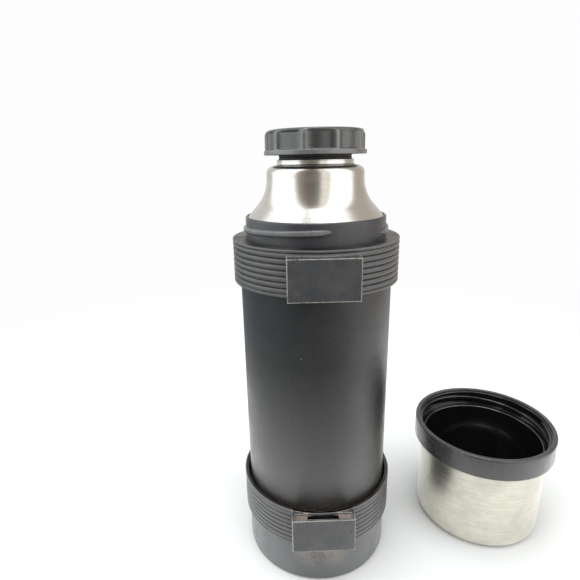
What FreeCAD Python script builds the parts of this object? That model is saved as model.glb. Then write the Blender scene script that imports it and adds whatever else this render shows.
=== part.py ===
import FreeCAD, Part
import math
import os

import Sketcher

# Wide-mouth steel vacuum flask with a screw stopper, and its screw-on cup standing beside it.
# Origin: centre of the flask's base on the surface it stands on. +Z up, handle sockets face -Y.
# Every sub-part is a PartDesign body. Its sketches are bound to the sheet's cells, so most pieces
# step inwards from the body wall, and upwards from the base, by sizes of their own.

doc = FreeCAD.newDocument("vacuum_flask")
sheet = doc.addObject("Spreadsheet::Sheet", "Sizes")
FULL_TURN = 360


class Size:
    """A size that knows both its number and the sheet formula behind it."""

    def __init__(self, value, formula):
        self.value = value
        self.formula = formula

    def joined(self, sign, other, value):
        return Size(value, f"({self.formula} {sign} {formula(other)})")

    def __add__(self, other):
        return self.joined("+", other, self.value + number(other))

    def __sub__(self, other):
        return self.joined("-", other, self.value - number(other))

    def __mul__(self, other):
        return self.joined("*", other, self.value * number(other))

    def __truediv__(self, other):
        return self.joined("/", other, self.value / number(other))


def number(size):
    return size.value if isinstance(size, Size) else float(size)


def formula(size):
    return size.formula if isinstance(size, Size) else repr(float(size))


def tan(angle):
    """The tangent of an angle that is held in degrees."""
    return Size(math.tan(math.radians(number(angle))), f"tan({formula(angle)} * 1 deg)")


def sin(angle):
    return Size(math.sin(math.radians(number(angle))), f"sin({formula(angle)} * 1 deg)")


def cos(angle):
    return Size(math.cos(math.radians(number(angle))), f"cos({formula(angle)} * 1 deg)")


def root(size):
    return Size(math.sqrt(number(size)), f"sqrt({formula(size)})")


def cell(name, value):
    """Writes one driving size into the sheet and returns it."""
    row = len(sheet_names) + 1
    sheet_names.append(name)
    sheet.set(f"A{row}", name)
    sheet.set(f"B{row}", str(value))
    sheet.setAlias(f"B{row}", name)
    return Size(float(value), f"Sizes.{name}")


sheet_names = []

# ---------------------------------------------------------------- driving sizes, mm and degrees

# Steel flask
body_radius = cell("body_radius", 47.0)
bare_height = cell("bare_height", 138.4)          # bare wall between the two ribbed bands
steel_wall = cell("steel_wall", 0.8)
bottle_wall = cell("bottle_wall", 0.6)
vacuum_gap = cell("vacuum_gap", 3.5)
weld_gap = cell("weld_gap", 0.05)                 # between coaxial pieces that are welded or pressed
shelf_width = cell("shelf_width", 5.9)            # step from the body wall in to the collar's seat
shelf_rounding = cell("shelf_rounding", 2.4)
weld_drop = cell("weld_drop", 12.4)               # shelf down to the weld with the body wall
cone_run = cell("cone_run", 12.0)                 # collar's seat in to the throat
cone_angle = cell("cone_angle", 48.3)
throat_height = cell("throat_height", 14.9)
throat_rounding = cell("throat_rounding", 23.0)
crown_run = cell("crown_run", 6.4)                # throat in to the lip
crown_angle = cell("crown_angle", 15.0)
crown_rounding = cell("crown_rounding", 3.6)
lip_width = cell("lip_width", 1.9)
lip_height = cell("lip_height", 2.7)
bottle_shoulder_drop = cell("bottle_shoulder_drop", 7.4)
bottle_shoulder_angle = cell("bottle_shoulder_angle", 50.7)
bottle_shoulder_rounding = cell("bottle_shoulder_rounding", 10.0)
bottle_neck_rounding = cell("bottle_neck_rounding", 6.0)
bottom_skirt = cell("bottom_skirt", 4.2)
bottom_gap = cell("bottom_gap", 4.2)              # between the two steel bottoms
inner_skirt = cell("inner_skirt", 6.0)
foil_thickness = cell("foil_thickness", 0.15)
foil_margin = cell("foil_margin", 8.0)
getter_radius = cell("getter_radius", 6.0)
getter_height = cell("getter_height", 2.0)
getter_offset = cell("getter_offset", 22.0)
vent_radius = cell("vent_radius", 1.0)
seal_bead_radius = cell("seal_bead_radius", 5.0)
seal_bead_height = cell("seal_bead_height", 1.4)

# Base cap, foot pad and ribbed bands
floor_gap = cell("floor_gap", 0.6)                # surface up to the base cap's underside
base_plate = cell("base_plate", 3.0)
base_cap_height = cell("base_cap_height", 29.8)
base_cap_wall = cell("base_cap_wall", 1.35)
base_rounding = cell("base_rounding", 1.6)
foot_radius = cell("foot_radius", 40.0)
foot_height = cell("foot_height", 2.2)
band_height = cell("band_height", 26.0)
band_gap = cell("band_gap", 1.3)                  # body wall to the inside of a band
band_wall = cell("band_wall", 2.6)
band_flange = cell("band_flange", 2.0)
band_rounding = cell("band_rounding", 0.25)
rib_count = cell("rib_count", 8)
rib_pitch = cell("rib_pitch", 3.25)
groove_depth = cell("groove_depth", 0.9)
groove_width = cell("groove_width", 1.9)
spacer_width = cell("spacer_width", 2.0)          # small ribs that centre a band on the wall
spacer_count = cell("spacer_count", 12)
spacer_setback = cell("spacer_setback", 8.0)
socket_width = cell("socket_width", 38.5)
socket_height = cell("socket_height", 23.0)
socket_reach = cell("socket_reach", 5.6)          # socket's front beyond the ribs
socket_rounding = cell("socket_rounding", 1.2)
socket_wall = cell("socket_wall", 1.5)
slot_width = cell("slot_width", 19.3)
slot_depth = cell("slot_depth", 16.0)
slot_thickness = cell("slot_thickness", 3.8)
slot_front = cell("slot_front", 2.6)              # plate in front of the slot
recess_depth = cell("recess_depth", 1.5)

# Threaded collar
collar_seat_gap = cell("collar_seat_gap", 0.05)
collar_wall = cell("collar_wall", 1.35)
collar_rise = cell("collar_rise", 12.7)           # above the upper band
collar_rounding = cell("collar_rounding", 0.8)
collar_foot_width = cell("collar_foot_width", 2.1)
collar_foot_height = cell("collar_foot_height", 2.3)
collar_seal_height = cell("collar_seal_height", 1.5)
cup_lead = cell("cup_lead", 10.6)
collar_ridge_height = cell("collar_ridge_height", 1.5)
collar_ridge_root = cell("collar_ridge_root", 3.2)
collar_ridge_crest = cell("collar_ridge_crest", 1.4)
collar_ridge_start = cell("collar_ridge_start", 145.0)
collar_ridge_sweep = cell("collar_ridge_sweep", 132.0)
collar_ridge_base = cell("collar_ridge_base", 3.9)  # above the upper band

# Stopper
bore_gap = cell("bore_gap", 0.5)                  # thread crests to the opposite wall
plug_lead = cell("plug_lead", 10.0)
ridge_height = cell("ridge_height", 1.7)
ridge_root = cell("ridge_root", 2.7)
ridge_crest = cell("ridge_crest", 1.3)
ridge_embed = cell("ridge_embed", 0.3)
ridge_rise = cell("ridge_rise", 9.0)
ridge_drop = cell("ridge_drop", 17.0)             # lip down to the start of the neck's ridges
plug_wall = cell("plug_wall", 2.2)
plug_depth = cell("plug_depth", 24.8)             # below the lip
plug_flange = cell("plug_flange", 2.0)
gasket_height = cell("gasket_height", 2.6)
gasket_inner_gap = cell("gasket_inner_gap", 0.3)
gasket_overlap = cell("gasket_overlap", 0.7)      # on the lip
plug_cap_plate = cell("plug_cap_plate", 1.6)
plug_cap_skirt = cell("plug_cap_skirt", 3.0)
knob_step = cell("knob_step", 0.3)                # knob beyond the throat
knob_height = cell("knob_height", 13.8)
knob_wall = cell("knob_wall", 2.4)
knob_cavity_step = cell("knob_cavity_step", 3.8)
knob_rounding = cell("knob_rounding", 3.5)
knob_flange = cell("knob_flange", 0.7)
knob_flange_height = cell("knob_flange_height", 2.6)
lobe_count = cell("lobe_count", 10)
lobe_ridge_angle = cell("lobe_ridge_angle", 5.3)
lobe_first_angle = cell("lobe_first_angle", 1.5)
lobe_hollow = cell("lobe_hollow", 0.56)
foam_gap = cell("foam_gap", 0.2)

# Cup
cup_gap = cell("cup_gap", 26.6)                   # between the flask's bands and the cup's rim
cup_offset = cell("cup_offset", 12.1)
cup_head_room = cell("cup_head_room", 8.7)        # over the knob when the cup is screwed on
cup_thread_gap = cell("cup_thread_gap", 0.6)
cup_ridge_height = cell("cup_ridge_height", 1.5)
cup_ridge_root = cell("cup_ridge_root", 2.6)
cup_ridge_crest = cell("cup_ridge_crest", 1.2)
cup_ridge_start = cell("cup_ridge_start", -19.0)
cup_ridge_sweep = cell("cup_ridge_sweep", 200.0)
cup_ridge_drop = cell("cup_ridge_drop", 10.1)     # rim down to the start of the ridges
cup_steel_wall = cell("cup_steel_wall", 0.7)
cup_shell_step = cell("cup_shell_step", 1.3)
cup_shell_rounding = cell("cup_shell_rounding", 6.5)
liner_wall = cell("liner_wall", 1.6)
liner_rim_wall = cell("liner_rim_wall", 1.9)
liner_step_plate = cell("liner_step_plate", 1.3)
liner_side_gap = cell("liner_side_gap", 0.7)
liner_floor_gap = cell("liner_floor_gap", 4.7)
liner_rounding = cell("liner_rounding", 9.0)
rim_height = cell("rim_height", 15.0)
rim_wall = cell("rim_wall", 1.75)
rim_floor = cell("rim_floor", 1.0)
rim_lip_depth = cell("rim_lip_depth", 2.1)
rim_lip_step = cell("rim_lip_step", 0.4)
rim_rounding = cell("rim_rounding", 1.5)

# ---------------------------------------------------------------- places worked out from them

lower_band_z = base_cap_height
upper_band_top = lower_band_z + band_height + bare_height + band_height
band_inner_radius = body_radius + band_gap
band_outer_radius = band_inner_radius + band_wall
cap_plate_top = floor_gap + base_plate

collar_foot_top = upper_band_top - band_flange
collar_seal_top = collar_foot_top - collar_foot_height
shelf_z = collar_seal_top - collar_seal_height
weld_z = shelf_z - weld_drop
seat_radius = body_radius - shelf_width
collar_bore_radius = seat_radius + collar_seat_gap
collar_radius = collar_bore_radius + collar_wall
collar_foot_radius = collar_radius + collar_foot_width
collar_top = upper_band_top + collar_rise
cone_z = collar_top - collar_rounding
throat_radius = seat_radius - cone_run
throat_z = cone_z + cone_run * tan(cone_angle)
crown_z = throat_z + throat_height
lip_radius = throat_radius - crown_run
lip_foot_z = crown_z + crown_run * tan(crown_angle)
lip_z = lip_foot_z + lip_height

# A wall offset at a bend moves its corner by the tangent of half the turn at that bend.
cone_angle_turn = cone_angle * -1 + 90
crown_angle_turn = crown_angle * -1 + 90
bottle_angle_turn = bottle_shoulder_angle * -1 + 90

wall_inner_radius = body_radius - steel_wall
bottle_radius = wall_inner_radius - vacuum_gap
bore_radius = lip_radius - lip_width
bottle_neck_radius = bore_radius + bottle_wall
outer_bottom_z = cap_plate_top + bottom_skirt
inner_bottom_z = outer_bottom_z + bottom_gap
bottle_shoulder_z = shelf_z - bottle_shoulder_drop
bottle_neck_z = bottle_shoulder_z + (bottle_radius - bottle_neck_radius) * tan(bottle_shoulder_angle)
bottle_lip_z = lip_z - steel_wall

ridge_crest_radius = bore_radius - ridge_height
plug_radius = ridge_crest_radius - bore_gap
plug_bore_radius = plug_radius - plug_wall
plug_bottom_z = lip_z - plug_depth
stopper_z = lip_z + gasket_height
gasket_radius = bore_radius + gasket_overlap
gasket_bore_radius = plug_radius + gasket_inner_gap
knob_radius = throat_radius + knob_step
knob_cavity_radius = knob_radius - knob_cavity_step
knob_top = stopper_z + knob_height
ridge_z = lip_z - ridge_drop

cup_bore_radius = collar_radius + collar_ridge_height + cup_thread_gap
cup_shell_radius = cup_bore_radius - cup_shell_step
liner_radius = cup_shell_radius - cup_steel_wall - liner_side_gap
liner_bore_radius = liner_radius - liner_wall
liner_rim_radius = cup_bore_radius + liner_rim_wall
rim_bore_radius = liner_rim_radius + weld_gap
rim_radius = rim_bore_radius + rim_wall
liner_floor_z = cup_steel_wall + liner_floor_gap + liner_wall
cup_height = liner_floor_z + (knob_top - upper_band_top) + cup_head_room
rim_z = cup_height - rim_height
cup_x = band_outer_radius + cup_gap + rim_radius

# ---------------------------------------------------------------- helpers

bodies = []


def new_body(label):
    """One sub-part: its Label is the name of the node and of its file."""
    body = doc.addObject("PartDesign::Body", label)
    body.Label = label
    bodies.append(body)
    return body


def origin_plane(body, role):
    return next(item for item in body.Origin.OriginFeatures if item.Role == role)


def new_sketch(body, name, plane, level, turn):
    """A sketch on the body's own plane, raised to a level or turned about +Z."""
    sketch = body.newObject("Sketcher::SketchObject", name)
    sketch.AttachmentSupport = [(origin_plane(body, plane), "")]
    sketch.MapMode = "FlatFace"
    about_z = FreeCAD.Vector(0, 1, 0) if plane == "XZ_Plane" else FreeCAD.Vector(0, 0, 1)
    sketch.AttachmentOffset = FreeCAD.Placement(
        FreeCAD.Vector(0, 0, number(level)), FreeCAD.Rotation(about_z, number(turn)))
    if isinstance(level, Size):
        sketch.setExpression("AttachmentOffset.Base.z", formula(level))
    if isinstance(turn, Size):
        sketch.setExpression("AttachmentOffset.Rotation.Angle", f"{formula(turn)} * 1 deg")
    return sketch


class Bindings:
    """Collects a sketch's constraints, and binds those that a size drives."""

    def __init__(self, sketch):
        self.sketch = sketch
        self.constraints = []
        self.formulas = {}

    def add(self, *parts):
        self.constraints.append(Sketcher.Constraint(*parts))

    def drive(self, size, *parts):
        if isinstance(size, Size):
            self.formulas[len(self.constraints)] = formula(size)
        self.add(*parts, number(size))

    def place(self, item, end, x, y):
        """Puts one end of an item at x and y."""
        for kind, axis, size in (("DistanceX", -2, x), ("DistanceY", -1, y)):
            if isinstance(size, Size) or size:
                self.drive(size, kind, -1, 1, item, end)
            else:
                self.add("PointOnObject", item, end, axis)

    def finish(self):
        self.sketch.addConstraint(self.constraints)
        for index, text in self.formulas.items():
            self.sketch.setExpression(f"Constraints[{index}]", text)


def corner_cut(before, spot, after, rounding):
    """Where a corner's rounding meets its two lines, and the centre of the rounding."""
    back = (before - spot).normalize()
    ahead = (after - spot).normalize()
    half = back.getAngle(ahead) / 2
    reach = number(rounding) / math.tan(half)
    centre = spot + (back + ahead).normalize() * (number(rounding) / math.sin(half))
    turns_left = (ahead.cross(back)).z > 0
    return spot + back * reach, spot + ahead * reach, centre, turns_left


def rounding_arc(arrive, leave, centre, turns_left, rounding):
    """The corner's arc. Sketch arcs run anticlockwise, so a right turn is drawn backwards."""
    first, last = (arrive, leave) if turns_left else (leave, arrive)
    circle = Part.Circle(centre, FreeCAD.Vector(0, 0, 1), number(rounding))
    return Part.ArcOfCircle(circle, circle.parameter(first), circle.parameter(last))


def outline(body, name, corners, plane="XZ_Plane", level=0, turn=0):
    """A closed sketch through corners (x, y), or (x, y, rounding) where a corner is round."""
    sketch = new_sketch(body, name, plane, level, turn)
    count = len(corners)
    spots = [FreeCAD.Vector(number(corner[0]), number(corner[1]), 0) for corner in corners]
    cuts = []
    for index, corner in enumerate(corners):
        if len(corner) == 3:
            after = spots[(index + 1) % count]
            cuts.append(corner_cut(spots[index - 1], spots[index], after, corner[2]))
        else:
            cuts.append((spots[index], spots[index], None, False))
    for index in range(count):
        leave, arrive = cuts[index][1], cuts[(index + 1) % count][0]
        sketch.addGeometry(Part.LineSegment(leave, arrive), False)
    bindings = Bindings(sketch)
    for index, corner in enumerate(corners):
        before = (index - 1) % count
        if len(corner) == 2:
            bindings.add("Coincident", before, 2, index, 1)
            bindings.place(index, 1, corner[0], corner[1])
            continue
        arc = sketch.addGeometry(rounding_arc(*cuts[index], corner[2]), False)
        point = sketch.addGeometry(Part.Point(spots[index]), True)
        arc_in, arc_out = (1, 2) if cuts[index][3] else (2, 1)
        bindings.add("Tangent", before, 2, arc, arc_in)
        bindings.add("Tangent", index, 1, arc, arc_out)
        bindings.drive(corner[2], "Radius", arc)
        bindings.add("PointOnObject", point, 1, before)
        bindings.add("PointOnObject", point, 1, index)
        bindings.place(point, 1, corner[0], corner[1])
    bindings.finish()
    return sketch


def disc(body, name, radius, level, x=0, y=0):
    """A sketch of one circle, flat at a level."""
    sketch = new_sketch(body, name, "XY_Plane", level, 0)
    centre = FreeCAD.Vector(number(x), number(y), 0)
    sketch.addGeometry(Part.Circle(centre, FreeCAD.Vector(0, 0, 1), number(radius)), False)
    bindings = Bindings(sketch)
    bindings.place(0, 3, x, y)
    bindings.drive(radius, "Radius", 0)
    bindings.finish()
    return sketch


def turned(body, sketch, kind="PartDesign::Revolution"):
    """A full turn of a section about +Z: a Revolution adds it, a Groove cuts it away."""
    feature = body.newObject(kind, "Turned")
    feature.Profile = sketch
    feature.ReferenceAxis = (sketch, ["V_Axis"])
    feature.Angle = FULL_TURN
    return feature


def raised(body, sketch, height, kind="PartDesign::Pad"):
    """Runs a flat sketch upwards: a Pad adds it, a Pocket cuts it away."""
    feature = body.newObject(kind, "Raised")
    feature.Profile = sketch
    feature.Length = number(height)
    if isinstance(height, Size):
        feature.setExpression("Length", formula(height))
    if kind == "PartDesign::Pocket":
        feature.Reversed = True
    return feature


def around(body, feature, sketch, count, axis):
    """Repeats a feature evenly about +Z."""
    pattern = body.newObject("PartDesign::PolarPattern", "Around")
    pattern.Originals = [feature]
    pattern.Axis = (sketch, [axis])
    pattern.Angle = FULL_TURN
    pattern.Occurrences = int(number(count))
    if isinstance(count, Size):
        pattern.setExpression("Occurrences", formula(count))
    body.Tip = pattern
    return pattern


def thread(body, root_radius, crest_radius, root_width, crest_width, level, rise, lead, start):
    """A two-start right-handed ridge: its section stands on the root and follows a helix."""
    outward = number(crest_radius) > number(root_radius)
    embedded = root_radius - ridge_embed if outward else root_radius + ridge_embed
    section = outline(body, "RidgeSection", [
        (embedded, level - root_width / 2),
        (root_radius, level - root_width / 2),
        (crest_radius, level - crest_width / 2),
        (crest_radius, level + crest_width / 2),
        (root_radius, level + root_width / 2),
        (embedded, level + root_width / 2),
    ], turn=start)
    ridge = body.newObject("PartDesign::AdditiveHelix", "Ridge")
    ridge.Profile = section
    ridge.ReferenceAxis = (section, ["V_Axis"])
    ridge.Mode = "pitch-height-angle"
    ridge.Pitch = number(lead)
    ridge.Height = number(rise)
    ridge.setExpression("Pitch", formula(lead))
    ridge.setExpression("Height", formula(rise))
    ridge.LeftHanded = False
    doc.recompute()
    return around(body, ridge, section, 2, "V_Axis")


# ---------------------------------------------------------------- the steel flask


def outer_shell():
    body = new_body("outer_shell")
    turned(body, outline(body, "Wall", [
        (wall_inner_radius, cap_plate_top),
        (body_radius, cap_plate_top),
        (body_radius, weld_z),
        (wall_inner_radius, weld_z),
    ]))


def shoulder():
    """Drawn steel: weld, shelf for the collar, seat, cone, throat, crown and lip tube."""
    body = new_body("shoulder")
    cone_shift = steel_wall * tan(cone_angle_turn / 2)
    crown_shift = steel_wall * tan(crown_angle_turn / 2)
    seat_inner = seat_radius - steel_wall
    throat_inner = throat_radius - steel_wall
    lip_inner = lip_radius - steel_wall
    shelf_inner = shelf_z - steel_wall
    turned(body, outline(body, "Section", [
        (body_radius, weld_z),
        (body_radius, shelf_z, shelf_rounding),
        (seat_radius, shelf_z, steel_wall),
        (seat_radius, cone_z, steel_wall * 2),
        (throat_radius, throat_z, throat_rounding),
        (throat_radius, crown_z, crown_rounding),
        (lip_radius, lip_foot_z, steel_wall / 2),
        (lip_radius, bottle_lip_z),
        (lip_inner, bottle_lip_z),
        (lip_inner, lip_foot_z - crown_shift),
        (throat_inner, crown_z - crown_shift, crown_rounding - steel_wall),
        (throat_inner, throat_z - cone_shift, throat_rounding + steel_wall),
        (seat_inner, cone_z - cone_shift, steel_wall),
        (seat_inner, shelf_inner, steel_wall * 2),
        (wall_inner_radius, shelf_inner, shelf_rounding - steel_wall),
        (wall_inner_radius, weld_z),
    ]))


def outer_bottom():
    body = new_body("outer_bottom")
    skirt_radius = wall_inner_radius - weld_gap
    turned(body, outline(body, "Section", [
        (vent_radius, outer_bottom_z),
        (vent_radius, outer_bottom_z - steel_wall),
        (skirt_radius - steel_wall, outer_bottom_z - steel_wall, steel_wall / 2),
        (skirt_radius - steel_wall, cap_plate_top),
        (skirt_radius, cap_plate_top),
        (skirt_radius, outer_bottom_z, steel_wall),
    ]))


def inner_bottle():
    """Spun steel with the neck's thread inside and the lip that meets the shoulder's tube."""
    body = new_body("inner_bottle")
    shoulder_shift = bottle_wall * tan(bottle_angle_turn / 2)
    bottle_inner = bottle_radius - bottle_wall
    turned(body, outline(body, "Section", [
        (bottle_inner, inner_bottom_z),
        (bottle_radius, inner_bottom_z),
        (bottle_radius, bottle_shoulder_z, bottle_shoulder_rounding),
        (bottle_neck_radius, bottle_neck_z, bottle_neck_rounding),
        (bottle_neck_radius, bottle_lip_z),
        (lip_radius, bottle_lip_z),
        (lip_radius, lip_z, steel_wall / 2),
        (bore_radius, lip_z, steel_wall / 4),
        (bore_radius, bottle_neck_z - shoulder_shift, bottle_neck_rounding + bottle_wall),
        (bottle_inner, bottle_shoulder_z - shoulder_shift, bottle_shoulder_rounding - bottle_wall),
    ]))
    doc.recompute()
    thread(body, bore_radius, ridge_crest_radius, ridge_root, ridge_crest,
           ridge_z, ridge_rise, plug_lead, 0)


def inner_bottom():
    body = new_body("inner_bottom")
    skirt_radius = bottle_radius - bottle_wall - weld_gap
    top = inner_bottom_z + inner_skirt
    turned(body, outline(body, "Section", [
        (0, inner_bottom_z),
        (skirt_radius, inner_bottom_z, bottle_wall * 5),
        (skirt_radius, top),
        (skirt_radius - bottle_wall, top),
        (skirt_radius - bottle_wall, inner_bottom_z + bottle_wall, bottle_wall * 4),
        (0, inner_bottom_z + bottle_wall),
    ]))


def copper_foil():
    body = new_body("copper_foil")
    inside = bottle_radius + weld_gap
    outside = inside + foil_thickness
    low = inner_bottom_z + foil_margin
    high = bottle_shoulder_z - bottle_shoulder_rounding
    turned(body, outline(body, "Section", [
        (inside, low), (outside, low), (outside, high), (inside, high)]))


def getter():
    body = new_body("getter")
    raised(body, disc(body, "Pill", getter_radius, outer_bottom_z, getter_offset), getter_height)


def vacuum_seal():
    """A bead under the outer bottom with a stem in the pump-out hole."""
    body = new_body("vacuum_seal")
    under = outer_bottom_z - steel_wall
    stem = vent_radius - weld_gap
    turned(body, outline(body, "Section", [
        (0, under - seal_bead_height),
        (seal_bead_radius, under - seal_bead_height, seal_bead_height / 2),
        (seal_bead_radius, under),
        (stem, under),
        (stem, outer_bottom_z),
        (0, outer_bottom_z),
    ]))


# ---------------------------------------------------------------- black mouldings on the flask


def base_cap():
    body = new_body("base_cap")
    inside = body_radius + weld_gap
    outside = inside + base_cap_wall
    turned(body, outline(body, "Section", [
        (0, foot_height),
        (foot_radius, foot_height),
        (foot_radius, floor_gap),
        (outside, floor_gap, base_rounding),
        (outside, base_cap_height),
        (inside, base_cap_height),
        (inside, cap_plate_top),
        (0, cap_plate_top),
    ]))


def foot_pad():
    body = new_body("foot_pad")
    pad_radius = foot_radius - weld_gap
    turned(body, outline(body, "Section", [
        (0, 0),
        (pad_radius, 0, floor_gap / 2),
        (pad_radius, foot_height),
        (0, foot_height),
    ]))


def band(label, flange_z, side, flange_bore):
    """A ribbed ring with a handle socket. side is +1 when it opens upwards, -1 downwards."""
    body = new_body(label)

    def level(depth):
        """A height so far from the flange's outer face, towards the open rim."""
        return flange_z + depth * side

    def lower(first, second):
        return first if side > 0 else second

    turned(body, outline(body, "Section", [
        (flange_bore, level(band_flange)),
        (flange_bore, flange_z),
        (band_outer_radius, flange_z, band_rounding),
        (band_outer_radius, level(band_height), band_rounding),
        (band_inner_radius, level(band_height)),
        (band_inner_radius, level(band_flange)),
    ]))
    cut_ribs(body, level)
    socket_top = band_height - socket_height
    socket_z = lower(level(socket_top), level(band_height))
    front = band_outer_radius + socket_reach
    half = socket_width / 2
    root_radius = band_inner_radius + band_wall / 4
    back = root(root_radius * root_radius - half * half)
    raised(body, outline(body, "Socket", [
        (half * -1, back * -1),
        (half * -1, front * -1, socket_rounding),
        (half, front * -1, socket_rounding),
        (half, back * -1),
    ], "XY_Plane", socket_z), socket_height)
    add_spacers(body, lower(level(band_flange), level(band_height - spacer_setback)))
    bore_z = lower(level(band_flange), level(band_height))
    raised(body, disc(body, "Bore", body_radius + weld_gap, bore_z),
           band_height - band_flange, "PartDesign::Pocket")
    clear_gap(body, level)
    cut_socket(body, front, level, lower)


def cut_ribs(body, level):
    """Tapered grooves that leave ribs between them."""
    first = level(rib_pitch / 2)
    beyond = band_outer_radius + groove_depth
    bottom = band_outer_radius - groove_depth
    section = outline(body, "GrooveSection", [
        (beyond, first - groove_width),
        (beyond, first + groove_width),
        (bottom, first + groove_width / 4),
        (bottom, first - groove_width / 4),
    ])
    groove = turned(body, section, "PartDesign::Groove")
    doc.recompute()
    rows = body.newObject("PartDesign::LinearPattern", "Rows")
    rows.Originals = [groove]
    rows.Direction = (section, ["V_Axis"])
    rows.Length = number(rib_pitch * (rib_count - 1))
    rows.setExpression("Length", formula(rib_pitch * (rib_count - 1)))
    rows.Occurrences = int(number(rib_count))
    rows.setExpression("Occurrences", formula(rib_count))
    rows.Reversed = number(level(1.0)) < number(level(0.0))
    body.Tip = rows


def add_spacers(body, low_z):
    """Small upright ribs inside a band that centre it on the body wall."""
    half = spacer_width / 2
    section = outline(body, "SpacerSection", [
        (half * -1, body_radius),
        (half, body_radius),
        (half, band_inner_radius + band_wall / 4),
        (half * -1, band_inner_radius + band_wall / 4),
    ], "XY_Plane", low_z)
    spacer = raised(body, section, band_height - band_flange - spacer_setback)
    doc.recompute()
    around(body, spacer, section, spacer_count, "N_Axis")


def clear_gap(body, level):
    """Opens the space between the wall and the band where the socket's block filled it."""
    gap_section = outline(body, "GapSection", [
        (body_radius, level(band_height - spacer_setback)),
        (band_inner_radius, level(band_height - spacer_setback)),
        (band_inner_radius, level(band_height + 1)),
        (body_radius, level(band_height + 1)),
    ])
    turned(body, gap_section, "PartDesign::Groove")


def cut_socket(body, front, level, lower):
    """A shallow recess at the socket's open end, with the handle's slot in its floor."""
    half = socket_width / 2 - socket_wall
    recess_back = band_outer_radius * -1
    recess_front = (front - socket_wall) * -1
    recess_z = lower(level(band_height - recess_depth), level(band_height))
    raised(body, outline(body, "Recess", [
        (half * -1, recess_back),
        (half * -1, recess_front),
        (half, recess_front),
        (half, recess_back),
    ], "XY_Plane", recess_z), recess_depth, "PartDesign::Pocket")
    slot_y = (front - slot_front) * -1
    slot_z = lower(level(band_height - slot_depth), level(band_height))
    slot_half = slot_width / 2
    raised(body, outline(body, "Slot", [
        (slot_half * -1, slot_y),
        (slot_half, slot_y),
        (slot_half, slot_y + slot_thickness),
        (slot_half * -1, slot_y + slot_thickness),
    ], "XY_Plane", slot_z), slot_depth, "PartDesign::Pocket")


def threaded_collar():
    body = new_body("threaded_collar")
    turned(body, outline(body, "Section", [
        (collar_bore_radius, collar_seal_top),
        (collar_foot_radius, collar_seal_top),
        (collar_foot_radius, collar_foot_top),
        (collar_radius, collar_foot_top),
        (collar_radius, collar_top, collar_rounding),
        (collar_bore_radius, collar_top),
    ]))
    doc.recompute()
    thread(body, collar_radius, collar_radius + collar_ridge_height, collar_ridge_root,
           collar_ridge_crest, upper_band_top + collar_ridge_base,
           cup_lead * collar_ridge_sweep / FULL_TURN, cup_lead, collar_ridge_start)


def collar_seal():
    body = new_body("collar_seal")
    inside = seat_radius + steel_wall + weld_gap
    outside = body_radius - shelf_rounding - weld_gap
    turned(body, outline(body, "Section", [
        (inside, shelf_z), (outside, shelf_z),
        (outside, collar_seal_top), (inside, collar_seal_top)]))


# ---------------------------------------------------------------- the stopper


def stopper_knob():
    """A hollow cap with a flange, scooped into lobes round its side."""
    body = new_body("stopper_knob")
    turned(body, outline(body, "Section", [
        (knob_cavity_radius, stopper_z),
        (knob_radius + knob_flange, stopper_z, knob_flange / 2),
        (knob_radius + knob_flange, stopper_z + knob_flange_height, knob_flange / 2),
        (knob_radius, stopper_z + knob_flange_height),
        (knob_radius, knob_top, knob_rounding),
        (0, knob_top),
        (0, knob_top - knob_wall),
        (knob_cavity_radius, knob_top - knob_wall, knob_wall / 2),
    ]))
    half_angle = (Size(FULL_TURN, str(FULL_TURN)) / lobe_count - lobe_ridge_angle) / 2
    half_chord = knob_radius * sin(half_angle)
    scoop_depth = knob_radius * cos(half_angle) - lobe_hollow
    scoop_radius = (half_chord * half_chord + lobe_hollow * lobe_hollow) / (lobe_hollow * 2)
    middle = lobe_first_angle + Size(FULL_TURN / 2, str(FULL_TURN / 2)) / lobe_count
    distance = scoop_depth + scoop_radius
    scoop = disc(body, "Scoop", scoop_radius, stopper_z + knob_flange_height,
                 distance * cos(middle), distance * sin(middle))
    cut = raised(body, scoop, knob_height, "PartDesign::Pocket")
    doc.recompute()
    around(body, cut, scoop, lobe_count, "N_Axis")


def stopper_plug():
    """The threaded tube, with a flange that closes the knob's underside."""
    body = new_body("stopper_plug")
    flange_top = stopper_z + plug_flange
    turned(body, outline(body, "Section", [
        (plug_bore_radius, plug_bottom_z),
        (plug_radius, plug_bottom_z),
        (plug_radius, stopper_z),
        (knob_cavity_radius - weld_gap, stopper_z),
        (knob_cavity_radius - weld_gap, flange_top),
        (plug_bore_radius, flange_top),
    ]))
    doc.recompute()
    thread(body, plug_radius, plug_radius + ridge_height, ridge_root, ridge_crest,
           ridge_z, ridge_rise, plug_lead, 90)


def plug_base_cap():
    body = new_body("plug_base_cap")
    skirt_radius = plug_bore_radius - weld_gap
    skirt_top = plug_bottom_z + plug_cap_skirt
    turned(body, outline(body, "Section", [
        (0, plug_bottom_z - plug_cap_plate),
        (plug_radius, plug_bottom_z - plug_cap_plate, plug_cap_plate / 2),
        (plug_radius, plug_bottom_z),
        (skirt_radius, plug_bottom_z),
        (skirt_radius, skirt_top),
        (skirt_radius - plug_cap_plate, skirt_top),
        (skirt_radius - plug_cap_plate, plug_bottom_z),
        (0, plug_bottom_z),
    ]))


def stopper_foam():
    body = new_body("stopper_foam")
    wide = knob_cavity_radius - foam_gap
    narrow = plug_bore_radius - foam_gap
    low = plug_bottom_z + plug_cap_skirt
    ledge = stopper_z + plug_flange
    top = knob_top - knob_wall - foam_gap
    turned(body, outline(body, "Section", [
        (0, low), (narrow, low), (narrow, ledge), (wide, ledge),
        (wide, top, knob_wall), (0, top)]))


def stopper_gasket():
    body = new_body("stopper_gasket")
    turned(body, outline(body, "Section", [
        (gasket_bore_radius, lip_z),
        (gasket_radius, lip_z, gasket_inner_gap),
        (gasket_radius, stopper_z, gasket_inner_gap),
        (gasket_bore_radius, stopper_z),
    ]))


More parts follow.
